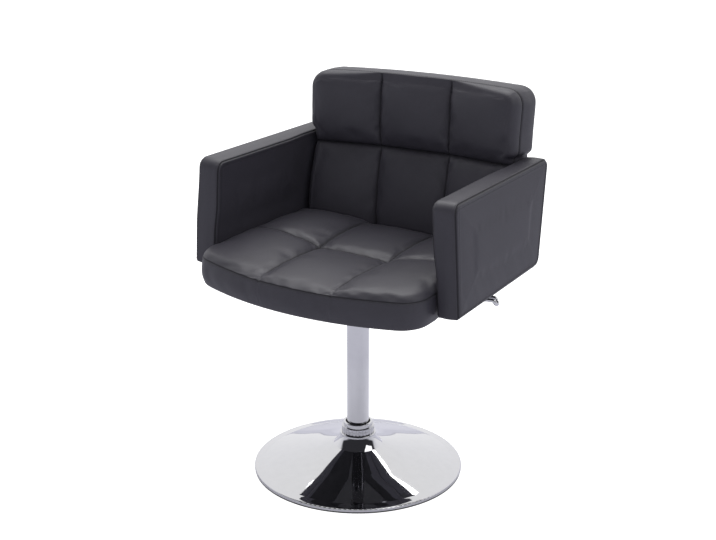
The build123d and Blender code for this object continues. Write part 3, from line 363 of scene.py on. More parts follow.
def coated_finish(name, colour, rough, texture_scale, texture_depth):
    """Powder coat, rubber or moulded plastic: a plain colour with a fine orange-peel surface."""
    graph, where = new_material(name)
    peel = graph.noise(where, texture_scale, 2.0)
    broad = graph.noise(where, 25.0, 3.0)
    tone = graph.mix(broad, tuple(c * 0.8 for c in colour), tuple(c * 1.2 for c in colour))
    relief = graph.bump(peel, 0.25, texture_depth)
    return finished(graph, tone, rough + 0.1 * broad, relief, Specular_IOR_Level=0.4)


def wood_finish():
    """Unfinished beech and plywood: long grain lines and pale flecks."""
    graph, where = new_material("raw_beech")
    stretched = graph.node("ShaderNodeMapping", {}, where, Scale=(12.0, 240.0, 240.0))
    lines = graph.noise(stretched, 1.0, 4.0)
    flecks = graph.noise(where, 420.0, 2.0)
    tone = graph.ramp(
        lines, [(0.35, (0.36, 0.22, 0.11)), (0.55, (0.52, 0.35, 0.20)), (0.75, (0.62, 0.46, 0.30))]
    )
    colour = graph.mix(flecks * 0.3, tone, (0.70, 0.56, 0.40))
    relief = graph.bump(lines, 0.2, 0.0003)
    return finished(graph, colour, 0.62 + 0.1 * flecks, relief, Specular_IOR_Level=0.3)


def foam_finish():
    """Open-cell upholstery foam."""
    graph, where = new_material("upholstery_foam")
    cells = graph.node("ShaderNodeTexVoronoi", {}, where, Scale=900.0)
    colour = graph.ramp(cells, [(0.0, (0.80, 0.74, 0.54)), (0.6, (0.62, 0.55, 0.36))])
    relief = graph.bump(cells, 0.5, 0.0006)
    return finished(graph, colour, 0.9 + 0.05 * cells, relief, Specular_IOR_Level=0.1)


def dust_cloth_finish():
    """Black non-woven cloth with its pressed dimples."""
    graph, where = new_material("dust_cloth")
    dimples = graph.node("ShaderNodeTexVoronoi", {}, where, Scale=420.0, Randomness=0.1)
    fibres = graph.noise(where, 1100.0, 3.0)
    colour = graph.ramp(fibres, [(0.3, (0.008, 0.008, 0.009)), (0.7, (0.022, 0.022, 0.024))])
    relief = graph.bump(dimples, 0.4, 0.0004)
    return finished(graph, colour, 0.85 + 0.1 * fibres, relief, Specular_IOR_Level=0.2)


finishes = {
    "leather": leather_finish(),
    "chrome": metal_finish("polished_chrome", CHROME, CHROME_ROUGHNESS),
    "spun_chrome": metal_finish("spun_chrome", CHROME, CHROME_ROUGHNESS, lean=DISH_LEAN),
    "black_metal": coated_finish("black_powder_coat", (0.020, 0.020, 0.022), 0.42, 900.0, 0.0002),
    "steel": metal_finish("zinc_plated_steel", (0.62, 0.63, 0.64), 0.24, 0.10),
    "aluminium": metal_finish("turned_aluminium", (0.74, 0.74, 0.76), 0.22, 0.12),
    "rubber": coated_finish("matte_rubber", (0.013, 0.013, 0.014), 0.72, 1500.0, 0.0001),
    "black_plastic": coated_finish("matte_moulding", (0.020, 0.020, 0.021), 0.50, 1300.0, 0.0001),
    "wood": wood_finish(),
    "foam": foam_finish(),
    "dust_cloth": dust_cloth_finish(),
}
thread = thread_finish()


def dress_model_nodes():
    """Every rigid node keeps its mesh and takes the finish of its material slot."""
    for row in frame["record"]["subparts"]:
        piece = nodes[row["node"]]
        piece.data.materials.clear()
        spun = row["node"] == "base_shell"
        piece.data.materials.append(finishes["spun_chrome" if spun else row["material_slot"]])


# ================================================================ mesh building
def surface_tree(name):
    """Ray-cast tree over a node's mesh, in millimetres."""
    mesh = nodes[name].data
    points = [v.co / MM for v in mesh.vertices]
    return BVHTree.FromPolygons(points, [list(p.vertices) for p in mesh.polygons])


def cast(tree, origins, direction, fallback):
    """Distance along one direction from each origin to the surface."""
    way = Vector(direction)
    found = []
    for origin in origins:
        hit = tree.ray_cast(Vector(origin), way)
        found.append(hit[3] if hit[0] is not None else fallback)
    return np.array(found)


def without_strays(grid):
    """Replaces values far from the median of their neighbours (rays that slipped through)."""
    padded = np.pad(grid, 1, mode="edge")
    columns, rows = grid.shape
    around = [padded[i : i + columns, j : j + rows] for i in range(3) for j in range(3)]
    middle = np.median(around, axis=0)
    return np.where(np.abs(grid - middle) > SURFACE_STRAY, middle, grid)


def cast_outline(tree, centre, across, up):
    """The outline of a solid in a plane: rays shot inwards from a circle round its centre."""
    angles = 2 * math.pi * np.arange(OUTLINE_COUNT) / OUTLINE_COUNT
    radii = []
    for angle in angles:
        way = across * math.cos(angle) + up * math.sin(angle)
        hit = tree.ray_cast(centre + way * OUTLINE_REACH, -way)
        radii.append(OUTLINE_REACH - hit[3] if hit[0] is not None else 0.0)
    radii = np.array(radii)
    for _ in range(2):
        middle = np.median([np.roll(radii, k) for k in range(-3, 4)], axis=0)
        radii = np.where(np.abs(radii - middle) > OUTLINE_STRAY, middle, radii)
    outline = radii[:, None] * np.stack([np.cos(angles), np.sin(angles)], 1)
    return outline[radii > 0.0]


def split_outline(outline, corners):
    """Cut a closed outline at its corners: lower, right, upper and left sides.

    Lower and upper run left to right, left and right run upwards. corners are directions."""
    ends = [int(np.argmax(outline @ np.array(c))) for c in corners]
    low_left, low_right, up_right, up_left = ends
    count = len(outline)

    def run(start, end):
        length = (end - start) % count
        return outline[[(start + k) % count for k in range(length + 1)]]

    return (
        run(low_left, low_right),
        run(low_right, up_right),
        run(up_right, up_left)[::-1],
        run(up_left, low_left)[::-1],
    )


def lengths(path):
    """Running length along a path, from 0 to 1."""
    steps = np.linalg.norm(np.diff(path, axis=0), axis=1)
    total = np.concatenate(([0.0], np.cumsum(steps)))
    return total / total[-1]


def along(path, shares):
    """Points of a path at shares of its length."""
    running = lengths(path)
    return np.stack([np.interp(shares, running, path[:, k]) for k in range(path.shape[1])], 1)


def graded(knots, cells, crowding):
    """Shares of a side between knots, crowded towards each knot."""
    shares = [knots[0]]
    for start, end, count in zip(knots[:-1], knots[1:], cells):
        t = np.linspace(0.0, 1.0, count + 1)[1:]
        eased = t - crowding * np.sin(2 * math.pi * t) / (2 * math.pi)
        shares.extend(start + (end - start) * eased)
    return np.array(shares)


def share_where(path, axis, value):
    """The share of a path's length at which one coordinate reaches a value."""
    running = lengths(path)
    order = np.argsort(path[:, axis])
    return float(np.interp(value, path[order, axis], running[order]))


def side_shares(path, axis, seams, cells):
    """Shares of a side's length, crowded towards its ends and its seams."""
    knots = [0.0, *[share_where(path, axis, s) for s in seams], 1.0]
    return graded(knots, cells, PANEL_CROWDING)


def coons(lower, right, upper, left):
    """Points inside four sides, blended from them; lower has columns, left has rows."""
    u = (lengths(lower) + lengths(upper)) / 2
    v = (lengths(left) + lengths(right)) / 2
    u = u[:, None, None]
    v = v[None, :, None]
    lofted = (1 - v) * lower[:, None] + v * upper[:, None]
    crossed = (1 - u) * left[None] + u * right[None]
    corners = (
        (1 - u) * (1 - v) * lower[0]
        + u * (1 - v) * lower[-1]
        + (1 - u) * v * upper[0]
        + u * v * upper[-1]
    )
    return lofted + crossed - corners


def loop_of(grid):
    """The boundary of a grid as one loop: lower, right, upper and left side."""
    return np.concatenate([grid[:, 0], grid[-1, 1:], grid[-2::-1, -1], grid[0, -2:0:-1]])


def loop_index(columns, rows):
    """Vertex numbers of a grid's boundary loop, where a vertex is column * rows + row."""
    grid = np.arange(columns * rows).reshape(columns, rows)
    return loop_of(grid)


def inward(loop):
    """Unit vectors square to a closed flat loop, pointing into it (it runs anticlockwise)."""
    ahead = np.roll(loop, -1, axis=0) - np.roll(loop, 1, axis=0)
    ahead /= np.linalg.norm(ahead, axis=1)[:, None]
    normal = np.stack([-ahead[:, 1], ahead[:, 0]], 1)
    for _ in range(3):
        normal = (np.roll(normal, 1, axis=0) + 2 * normal + np.roll(normal, -1, axis=0)) / 4
    return normal / np.linalg.norm(normal, axis=1)[:, None]


def moved_in(loop, inset):
    """A closed flat loop moved inwards, by one inset or by one for each point."""
    return loop + inward(loop) * np.broadcast_to(inset, (len(loop),))[:, None]


def inset_grid(plan, inset):
    """The same grid with its boundary moved inwards and its inside blended anew."""
    grid = plan.copy()
    grid.reshape(-1, 2)[loop_index(*plan.shape[:2])] = moved_in(loop_of(plan), inset)
    return coons(grid[:, 0], grid[-1], grid[:, -1], grid[0])


def levelled(grid, row, height):
    """Moves one inner row of a grid to a level place, and the rest in proportion."""
    moved = grid.copy()
    values = grid[..., 1].T
    first, last, here = values[0], values[-1], values[row]
    below = first + (values - first) * (height - first) / (here - first)
    above = last + (values - last) * (height - last) / (here - last)
    number = np.arange(len(values))[:, None]
    moved[..., 1] = np.where(number <= row, below, above).T
    return moved


def sewn_plan(sides, shifts, cross_seam, rows):
    """A grid inside four sides, whose lines meet the sides at the sewn seams.

    shifts move the upright seams sideways, at the lower and at the upper side."""
    lower, right, upper, left = sides
    lower, upper = (
        along(side, side_shares(side, 0, (shift - SEAM_X, shift + SEAM_X), PANEL_COLUMNS))
        for side, shift in zip((lower, upper), shifts)
    )
    right, left = (along(side, side_shares(side, 1, (cross_seam,), rows)) for side in (right, left))
    return coons(lower, right, upper, left)


def panelled(plan, seam_row, seam_height, skew=0.0):
    """A grid whose seam columns stand at the sewn seams and whose seam row is level."""
    grid = levelled(plan, seam_row, seam_height)
    values = grid[..., 0]
    first, second = SEAM_COLUMNS
    left_seam, right_seam = (
        x + skew * (seam_height - grid[k, :, 1]) for k, x in ((first, -SEAM_X), (second, SEAM_X))
    )
    panels = [
        (0, first, values[0], left_seam),
        (first, second, left_seam, right_seam),
        (second, len(values) - 1, right_seam, values[-1]),
    ]
    result = values.copy()
    for start, end, low, high in panels:
        part = (values[start : end + 1] - values[start]) / (values[end] - values[start])
        result[start : end + 1] = low + (high - low) * part
    result[:, 0] = values[:, 0]
    result[:, -1] = values[:, -1]
    grid[..., 0] = result
    return grid


def relaxed(grid, rounds):
    """Evens out the inside of a grid without moving its boundary."""
    for _ in range(rounds):
        middle = (grid[:-2, 1:-1] + grid[2:, 1:-1] + grid[1:-1, :-2] + grid[1:-1, 2:]) / 4
        grid[1:-1, 1:-1] = 0.5 * grid[1:-1, 1:-1] + 0.5 * middle
    return grid


def seam_gaps(face, row):
    """Distances of each grid point to the nearer upright seam and to the cross seam."""
    x, y = face[..., 0], face[..., 1]
    first, second = SEAM_COLUMNS
    beside = np.minimum(np.abs(x - x[first]), np.abs(x - x[second]))
    return beside, np.abs(y - y[:, row, None])


def closed_box(front, rings, rear):
    """Vertices and faces of a closed form: a front grid, rings round the side, a rear grid."""
    columns, rows = front.shape[:2]
    size = columns * rows
    around = len(rings[0])
    rear_start = size + around * len(rings)
    points = [front.reshape(-1, 3), *rings, rear.reshape(-1, 3)]
    corners = [i * rows + j for i in range(columns - 1) for j in range(rows - 1)]
    faces = [(a, a + rows, a + rows + 1, a + 1) for a in corners]
    faces += [(a, a + 1, a + rows + 1, a + rows) for a in (rear_start + c for c in corners)]
    edge = loop_index(columns, rows)
    belts = [edge]
    belts += [size + k * around + np.arange(around) for k in range(len(rings))]
    belts.append(rear_start + edge)
    for upper, lower in zip(belts[:-1], belts[1:]):
        for k in range(len(edge)):
            after = (k + 1) % len(edge)
            faces.append((upper[k], lower[k], lower[after], upper[after]))
    return np.concatenate(points), [tuple(int(i) for i in f) for f in faces]


def layered(front, belts, rear, loop):
    """One value for each point of a closed form: its front grid, its rings and its rear grid."""
    rings = [np.broadcast_to(belt, (len(loop),)) for belt in belts]
    return np.concatenate([np.ravel(front), *rings, np.ravel(rear)])


def make_cover(name, points, faces, painted_seam_shade, held, cap, fullness):
    """A sewn leather cover from millimetre points, blown up between its seams and smoothed."""
    mesh = bpy.data.meshes.new(name)
    mesh.from_pydata((np.asarray(points) * MM).tolist(), [], faces)
    # the painted seam shade, kept on each point for the leather's colour
    layer = mesh.attributes.new("painted_seam_shade", "FLOAT", "POINT")
    layer.data.foreach_set("value", np.asarray(painted_seam_shade, np.float32))
    mesh.materials.append(finishes["leather"])
    cover = bpy.data.objects.new(name, mesh)
    scene.collection.objects.link(cover)
    blow_up(cover, held, cap, fullness)
    soft = cover.modifiers.new("smooth", "SUBSURF")
    soft.levels = soft.render_levels = 1
    bake_modifiers(cover)
    shade_smooth(cover)
    return cover


def blow_up(cover, held, cap, fullness):
    """Cloth simulation: filling presses the cover out between the points that seams hold.

    cap is how far, in millimetres, each point may move; fullness is the share of cloth to spare."""
    group = cover.vertex_groups.new(name="held")
    for index, weight in enumerate(held):
        group.add([index], float(weight), "REPLACE")
    cloth = cover.modifiers.new("filling", "CLOTH")
    settings = cloth.settings
    for key, value in LEATHER_CLOTH.items():
        setattr(settings, key, value)
    settings.use_pressure = True
    settings.uniform_pressure_force = FILLING_PRESSURE
    settings.shrink_min = -fullness
    settings.vertex_group_mass = "held"
    settings.effector_weights.gravity = 0.0
    cloth.point_cache.frame_start = 1
    cloth.point_cache.frame_end = CLOTH_FRAMES
    before = coordinates(cover.data)
    for number in range(1, CLOTH_FRAMES + 1):
        scene.frame_set(number)
    graph = bpy.context.evaluated_depsgraph_get()
    moved = coordinates(cover.evaluated_get(graph).data)
    cover.modifiers.clear()
    cover.vertex_groups.clear()
    scene.frame_set(1)
    step = moved - before
    size = np.linalg.norm(step, axis=1)
    limit = np.asarray(cap) * MM
    step *= (np.minimum(size, limit) / np.maximum(size, 1e-9))[:, None]
    cover.data.vertices.foreach_set("co", (before + step).ravel())


def coordinates(mesh):
    """The places of a mesh's points, in metres."""
    places = np.empty(len(mesh.vertices) * 3, np.float32)
    mesh.vertices.foreach_get("co", places)
    return places.reshape(-1, 3)


def bake_modifiers(piece):
    """Turn an object's evaluated shape into its plain mesh."""
    bpy.context.view_layer.update()
    graph = bpy.context.evaluated_depsgraph_get()
    made = bpy.data.meshes.new_from_object(piece.evaluated_get(graph))
    old = piece.data
    piece.modifiers.clear()
    piece.data = made
    bpy.data.meshes.remove(old)
    made.name = piece.name


def shade_smooth(piece):
    piece.data.polygons.foreach_set("use_smooth", [True] * len(piece.data.polygons))


def oriented(points, faces):
    """The faces of a closed form, turned so that they point outwards."""
    total = 0.0
    for face in faces:
        corner = points[face[0]]
        for second, third in zip(face[1:-1], face[2:]):
            total += float(np.dot(corner, np.cross(points[second], points[third])))
    return faces if total > 0 else [tuple(reversed(f)) for f in faces]


# ================================================================ sewn forms
def fold(distance, depth, width):
    """Depth of a sewn valley at some distance from its seam: steep at the seam, then easing out."""
    return depth * np.exp(-((np.abs(distance) / width) ** 0.85))


def bell(distance, width):
    """1 at no distance, falling to 0 over a width on either side."""
    return np.exp(-((distance / width) ** 2))


def ease(value):
    """Smooth step of a share, held between 0 and 1."""
    t = np.clip(value, 0.0, 1.0)
    return t * t * (3 - 2 * t)


def pucker(distance, wavelength):
    """Uneven small gathers along a seam, between -1 and 1."""
    turn = 2 * math.pi * distance / wavelength
    return 0.55 * np.sin(turn) + 0.3 * np.sin(2.3 * turn + 1.7) + 0.15 * np.sin(4.1 * turn + 0.6)


def running(loop):
    """Distance run along a closed loop, at each of its points."""
    steps = np.linalg.norm(np.diff(loop, axis=0), axis=1)
    return np.concatenate(([0.0], np.cumsum(steps)))


def edge_distance(grid, loop):
    """Distance of each grid point to the nearest point of a closed loop."""
    flat = grid.reshape(-1, 2)
    ahead = np.roll(loop, -1, axis=0) - loop
    span = (ahead**2).sum(1)
    nearest = np.full(len(flat), 1e9)
    for start, way, size in zip(loop, ahead, span):
        t = np.clip(((flat - start) @ way) / max(size, 1e-9), 0, 1)
        gap = np.linalg.norm(flat - start - t[:, None] * way, axis=1)
        nearest = np.minimum(nearest, gap)
    return nearest.reshape(grid.shape[:2])


# ================================================================ seat
def seat_form():
    """The seat cushion, as make_cushion takes it. Lengths inside formulas are millimetres."""
    tree = surface_tree("seat_cover")
    low, high = (np.array(c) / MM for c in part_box("seat_cover"))
    bottom = low[2]
    centre = Vector((*SEAT_CENTRE, SEAT_OUTLINE_HEIGHT))
    outline = cast_outline(tree, centre, Vector((1, 0, 0)), Vector((0, 1, 0)))
    sides = [side + np.array(SEAT_CENTRE) for side in split_outline(outline, SEAT_CORNERS)]
    shifts = [SEAT_SEAM_SKEW * (SEAT_CROSS_SEAM_Y - side[:, 1].mean()) for side in sides[::2]]
    plan = sewn_plan(sides, shifts, SEAT_CROSS_SEAM_Y, SEAT_ROWS)
    outer = loop_of(plan)
    row = SEAT_ROWS[0]
    face = panelled(inset_grid(plan, SEAT_FACE_INSET), row, SEAT_CROSS_SEAM_Y, SEAT_SEAM_SKEW)
    inside = ease(edge_distance(face, outer) / 60.0)
    face[..., 1] += SEAT_CROSS_BOW * ease((face[..., 0] - 60.0) / 110.0) * inside

    # the model's own top, with rays near the rim drawn in so that none misses it
    x, y = face[..., 0], face[..., 1]
    edge = edge_distance(face, outer)
    from_centre = np.maximum(np.hypot(x, y - SEAT_CENTRE[1]), 1)
    drawn_in = 1 - 3.0 * np.clip(1 - edge / 4.0, 0, 1) / from_centre
    start = high[2] + 50.0
    origins = [(px, py, start) for px, py in zip((x * drawn_in).ravel(), (y * drawn_in).ravel())]
    top = start - cast(tree, origins, (0, 0, -1), start - (bottom + 60)).reshape(x.shape)
    top = relaxed(without_strays(top)[..., None], 24)[..., 0]

    # the crown, which rises from the seam round the edge
    seam = SEAT_FRONT_SEAM_Z + (SEAT_REAR_SEAM_Z - SEAT_FRONT_SEAM_Z) * ease((y + 170) / 370)
    seam = np.minimum(seam, top)
    rise = 1 - (1 - np.clip(edge / SEAT_RISE, 0, 1)) ** 2.2
    height = seam - SEAT_SEAM_DROP + (top + 1.2 - seam) * rise

    # the sewn valleys, the tufts where they cross, and the puff and creases between them
    across, level = seam_gaps(face, row)
    fade = ease((edge - 12.0) / 34.0)
    near_tuft = np.exp(-level / 120.0)
    groove = SEAT_GROOVE * (0.45 + 0.55 * near_tuft) * fold(across, 1.0, GROOVE_WIDTH) * fade
    cross = SEAT_GROOVE * fold(level, 1.0, GROOVE_WIDTH) * (1 - 0.55 * ease((np.abs(x) - 150) / 70))
    groove = np.maximum(groove, cross * ease(edge / 20.0))
    tuft = np.hypot(across, level)
    groove = groove + SEAT_TUFT * bell(tuft, 7.0)
    puff = SEAT_PUFF * (1 - np.exp(-across / 16.0)) * (1 - np.exp(-level / 16.0)) * ease(edge / 40.0)
    creases = SEAT_CREASE * pucker(level, 23.0) * np.exp(-across / 14.0) * np.exp(-level / 60.0)
    creases += SEAT_CREASE * pucker(across, 19.0) * np.exp(-level / 14.0)
    height = height - groove + puff + creases * fade
    notch = SEAT_NOTCH * bell(across, 2.6) * np.exp(-edge / 12.0) * (y < -150)
    height = height - notch
    front_grid = np.concatenate([face, height[..., None]], 2)
    # mask: painted shade along the sewn valleys, which also marks where the seams hold the cover; the rim
    # seam is painted at 0.6
    mask = np.maximum(bell(across, 2.4), bell(level, 2.0)) * fade
    held = np.clip(np.maximum(mask, bell(tuft, 12.0)) + bell(edge, 3.0), 0, 1)
    mask[:, 0] = mask[:, -1] = mask[0] = mask[-1] = 0.6

    # the side: it bulges at the front only, because the arms and the back hold the rest
    free = ease((-outer[:, 1] - 95.0) / 60.0)
    seam_z = height.ravel()[loop_index(*height.shape)] + SEAT_SEAM_DROP
    belly = SEAT_BELLY * free
    gather = 0.25 * pucker(running(outer), 15.0) * free
    drop = seam_z - bottom

    def ring(inset, z):
        z = np.broadcast_to(z, (len(outer),))
        return np.concatenate([moved_in(outer, inset), z[:, None]], 1)

    # inset, height, painted seam shade and looseness of each ring, downwards
    belts = [
        (1.5, seam_z - 1.7, 1.0, 0),
        (1.2, seam_z - 2.4, 0.9, 0),
        (0.5 - 0.5 * free, seam_z - 3.2, 0.3, 0),
        (0.2 - 0.6 * free - gather, seam_z - 4.6, 0, 0),
        (0.2 - 0.35 * belly - gather, seam_z - 8.0, 0, 0.3),
        (0.1 - 0.8 * belly, seam_z - 0.33 * drop, 0, 0.9),
        (0.0 - belly, seam_z - 0.5 * drop, 0, 1.0),
        (0.0 - 0.85 * belly, seam_z - 0.68 * drop, 0, 0.9),
        (0.2 - 0.3 * belly, bottom + SEAT_LOWER_EDGE + 2.0, 0, 0.2),
        (1.2, bottom + 0.5 * SEAT_LOWER_EDGE, 0, 0),
        (3.6, bottom + 0.15 * SEAT_LOWER_EDGE, 0, 0),
        (SEAT_LOWER_EDGE, bottom, 0, 0),
    ]
    under = inset_grid(plan, SEAT_UNDER_INSET)
    rear_grid = np.concatenate([under, np.full((*under.shape[:2], 1), bottom)], 2)
    rear = np.zeros(under.shape[:2])
    insets, heights, darks, looseness = zip(*belts)
    points, faces = closed_box(front_grid, list(map(ring, insets, heights)), rear_grid)
    painted_seam_shade = layered(mask, darks, rear, outer)
    loose = np.outer(looseness, free)
    grips = layered(held, 1 - loose, rear + 1, outer)
    caps = layered(np.full(x.shape, SEAT_SWELL), SEAT_SIDE_SWELL * loose, rear, outer)
    return points, faces, painted_seam_shade, grips, caps, [ring(0.1 - 0.7 * free, seam_z - 6.0)]


# ================================================================ back
def back_axes():
    """Across, up the lean, and square out of the front of the back."""
    across = np.array((1.0, 0.0, 0.0))
    up = np.array((0.0, math.sin(BACK_LEAN), math.cos(BACK_LEAN)))
    out = np.array((0.0, -math.cos(BACK_LEAN), math.sin(BACK_LEAN)))
    return across, up, out


def skewed(flat):
    """Heights on the back, lifted a little towards the right, as the cover is sewn."""
    return flat[..., 1] + BACK_SKEW * flat[..., 0] * ease((flat[..., 1] + 90.0) / 90.0)


def above_arms(height):
    """0 beside the arms and 1 above them, for lifted heights on the back."""
    return ease((height - BACK_ARM_TOP) / BACK_ARM_TOP_STEP)


def free_edge(height):
    """0 where the arms hold the edge of the back, 1 where it stands free."""
    return ease((height - BACK_FREE_HEIGHT) / 20.0)


def back_form():
    """The back cushion, as make_cushion takes it. Lengths inside formulas are millimetres."""
    tree = surface_tree("back_cover")
    high = np.array(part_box("back_cover")[1]) / MM
    across, up, out = back_axes()
    rear_y = high[1] - (high[2] - BACK_CENTRE_Z) * math.tan(BACK_LEAN)
    rear_point = np.array((0.0, rear_y, BACK_CENTRE_Z))
    middle = Vector(rear_point + out * 0.5 * BACK_BOXING)
    outline = cast_outline(tree, middle, Vector(across), Vector(up))
    short = BACK_HALF_WIDTH - np.abs(outline[:, 0])
    over_arms = (outline[:, 1] < 90.0) * above_arms(skewed(outline))
    outline[:, 0] += np.sign(outline[:, 0]) * np.maximum(short, 0.0) * over_arms
    seam_h = (BACK_SEAM_Z - BACK_CENTRE_Z) / math.cos(BACK_LEAN)
    plan = sewn_plan(split_outline(outline, BACK_CORNERS), (0.0, 0.0), seam_h, BACK_ROWS)
    outer = loop_of(plan)
    face = panelled(inset_grid(plan, BACK_ROUND), BACK_ROWS[0], seam_h)

    # the model's own front, as its depth ahead of the rear plane
    start = 300.0
    flat_part = np.clip(face, -BACK_FLAT_HALF_WIDTH, (BACK_FLAT_HALF_WIDTH, BACK_FLAT_TOP))
    origins = [rear_point + across * p[0] + up * p[1] + out * start for p in flat_part.reshape(-1, 2)]
    depth = start - cast(tree, origins, tuple(-out), start - BACK_BOXING).reshape(face.shape[:2])
    depth = relaxed(without_strays(depth)[..., None], 14)[..., 0]

    # the sewn valleys, and the puff, ridge and creases between them
    h = face[..., 1]
    edge = edge_distance(face, loop_of(face))
    beside, level = seam_gaps(face, BACK_ROWS[0])
    upright = fold(beside, BACK_GROOVE, GROOVE_WIDTH)
    cross = fold(level, BACK_CROSS_GROOVE, BACK_CROSS_WIDTH)
    pinch = BACK_PINCH * np.exp(-((beside / 5.0) ** 2) - ((h - BACK_PINCH_HEIGHT) / 2.6) ** 2)
    groove = np.maximum(upright, cross) + pinch
    puff = BACK_PUFF * (1 - np.exp(-beside / 20.0)) * (1 - np.exp(-level / 16.0)) * ease(edge / 30.0)
    ridge = BACK_RIDGE * bell(level - 13.0, 9.0) * (h < seam_h)
    creases = BACK_CREASE * pucker(level, 21.0) * np.exp(-beside / 12.0)
    creases += BACK_CREASE * pucker(beside, 26.0) * np.exp(-level / 12.0)
    crown = BACK_CROWN * np.exp(-edge / 13.0) * ease((h - 20.0) / 40.0)
    depth = depth - crown - groove + puff + ridge * (1 - bell(beside, 8.0)) + creases
    # mask: painted shade along the sewn valleys, which also marks where the seams hold the cover
    mask = np.maximum(bell(beside, 1.5), bell(level, 2.4))
    held = np.clip(np.maximum(mask, bell(edge, 5.0) * (1 - free_edge(h))), 0, 1)

    def spot(flat, w):
        """Points in the model's frame from flat places on the back and their depth."""
        w = np.broadcast_to(w, flat.shape[:-1])[..., None]
        lifted = skewed(flat)[..., None]
        wider = 1 + BACK_FULLER / BACK_FLAT_HALF_WIDTH * above_arms(lifted)
        return rear_point + flat[..., :1] * wider * across + lifted * up + w * out

    def ring(inset, w):
        return spot(moved_in(outer, inset), w)

    # the rounded front edge, with the valleys running out over it and gathers at the top corners
    index = loop_index(*face.shape[:2])
    front_w, loop_groove, loop_mask = (
        values.reshape(-1)[index] for values in (depth + groove, groove, mask)
    )
    turn = front_w - BACK_BOXING
    corner = bell(np.abs(outer[:, 0]) - 215.0, 40.0) * (outer[:, 1] > 110)
    gather = 0.55 * pucker(running(outer), 13.0) * corner
    rings = []
    darks = []
    for step in range(1, BACK_ROUND_STEPS + 1):
        angle = 0.5 * math.pi * step / (BACK_ROUND_STEPS + 0.6)
        away = BACK_ROUND * (1 - math.sin(angle) ** BACK_ROUND_POWER) + 0.8 * math.sin(angle)
        sink = loop_groove * (1 - 0.75 * step / BACK_ROUND_STEPS)
        inset = away + (sink + gather * math.sin(angle) ** 4) * math.sin(angle)
        forward = (turn - 1.5) * math.cos(angle) ** BACK_ROUND_POWER
        rings.append(ring(inset, BACK_BOXING + 1.5 + forward - sink * math.cos(angle)))
        # painted seam shade running out over the rounded edge, fading as it goes
        darks.append(loop_mask * (1 - 0.6 * step / BACK_ROUND_STEPS))

    # inset, depth behind the front seam, painted seam shade and looseness of each ring, backwards
    belts = [
        (0.9, 2.2, 0.2, 0),
        (2.0, 0.6, 1.0, 0),
        (2.0, -0.6, 1.0, 0),
        (0.7, -2.2, 0.2, 0),
        (0.3, -6.0, 0, 0.1),
        (-0.6, 0.62 * BACK_BOXING - BACK_BOXING, 0, 1),
        (-0.8, 0.45 * BACK_BOXING - BACK_BOXING, 0, 1),
        (-0.2, BACK_REAR_ROUND + 5.0 - BACK_BOXING, 0, 0.4),
        (0.8, BACK_REAR_ROUND - 1.0 - BACK_BOXING, 0, 0),
        (2.6, 3.0 - BACK_BOXING, 0, 0),
        (5.5, 0.8 - BACK_BOXING, 0, 0),
    ]
    bunch = 0.45 * gather
    for inset, w, dark, _ in belts:
        rings.append(ring(inset + bunch * math.exp(-abs(w) / 5.0), BACK_BOXING + w))
        darks.append(dark)
    rear_flat = inset_grid(plan, BACK_REAR_INSET)
    rear_edge = edge_distance(rear_flat, outer) - BACK_REAR_INSET
    rear_grid = spot(rear_flat, 0.2 - 1.2 * (1 - np.exp(-rear_edge / 30.0)))
    points, faces = closed_box(spot(face, depth), rings, rear_grid)
    above = free_edge(outer[:, 1])
    wrap = [0.6 * (1 - step / BACK_ROUND_STEPS) for step in range(1, BACK_ROUND_STEPS + 1)]
    looseness = np.array(wrap + [loose for _, _, _, loose in belts])
    rear_free = ease(rear_edge / 30.0)
    painted_seam_shade = layered(mask, darks, np.zeros(rear_edge.shape), outer)
    grips = layered(held, 1 - np.outer(looseness, above), 1 - rear_free, outer)
    front_cap = BACK_SWELL * (0.35 + 0.65 * ease((h - 30.0) / 40.0) + 0.3 * (level > 12))
    side_caps = np.outer(BACK_SIDE_SWELL * looseness, above)
    caps = layered(front_cap, side_caps, BACK_REAR_SWELL * rear_free, outer)
    return points, faces, painted_seam_shade, grips, caps, [ring(0.45, BACK_BOXING - 3.8)]


# ================================================================ arms
def arm_axes(side):
    """Corner and axes of an arm: back along it, up it, and out of its outer face."""
    flat = math.cos(ARM_LEAN)
    outward = np.array(
        (math.cos(ARM_TOE_IN) * flat, math.sin(ARM_TOE_IN) * flat, math.sin(ARM_LEAN))
    )
    back = np.array((-math.sin(ARM_TOE_IN), math.cos(ARM_TOE_IN), 0.0))
    rise = np.cross(outward, back)
    mirror = np.array((side, 1.0, 1.0))
    return np.array(ARM_CORNER) * mirror, back * mirror, rise * mirror, outward * mirror


def rounded_polygon(corners, radii, count):
    """A closed outline with an arc of count points at each corner, anticlockwise."""
    path = []
    for k, radius in enumerate(radii):
        here = np.array(corners[k])
        before = np.array(corners[k - 1]) - here
        after = np.array(corners[(k + 1) % len(corners)]) - here
        before /= np.linalg.norm(before)
        after /= np.linalg.norm(after)
        half = math.acos(np.clip(np.dot(before, after), -1, 1)) / 2
        reach = radius / math.tan(half)
        centre = here + (before + after) / np.linalg.norm(before + after) * radius / math.sin(half)
        first = here + before * reach - centre
        last = here + after * reach - centre
        for t in np.linspace(0, 1, count):
            way = first * (1 - t) + last * t
            path.append(centre + way / np.linalg.norm(way) * radius)
    closed = np.array(path + [path[0]])
    return along(closed, np.linspace(0, 1, OUTLINE_COUNT, endpoint=False))


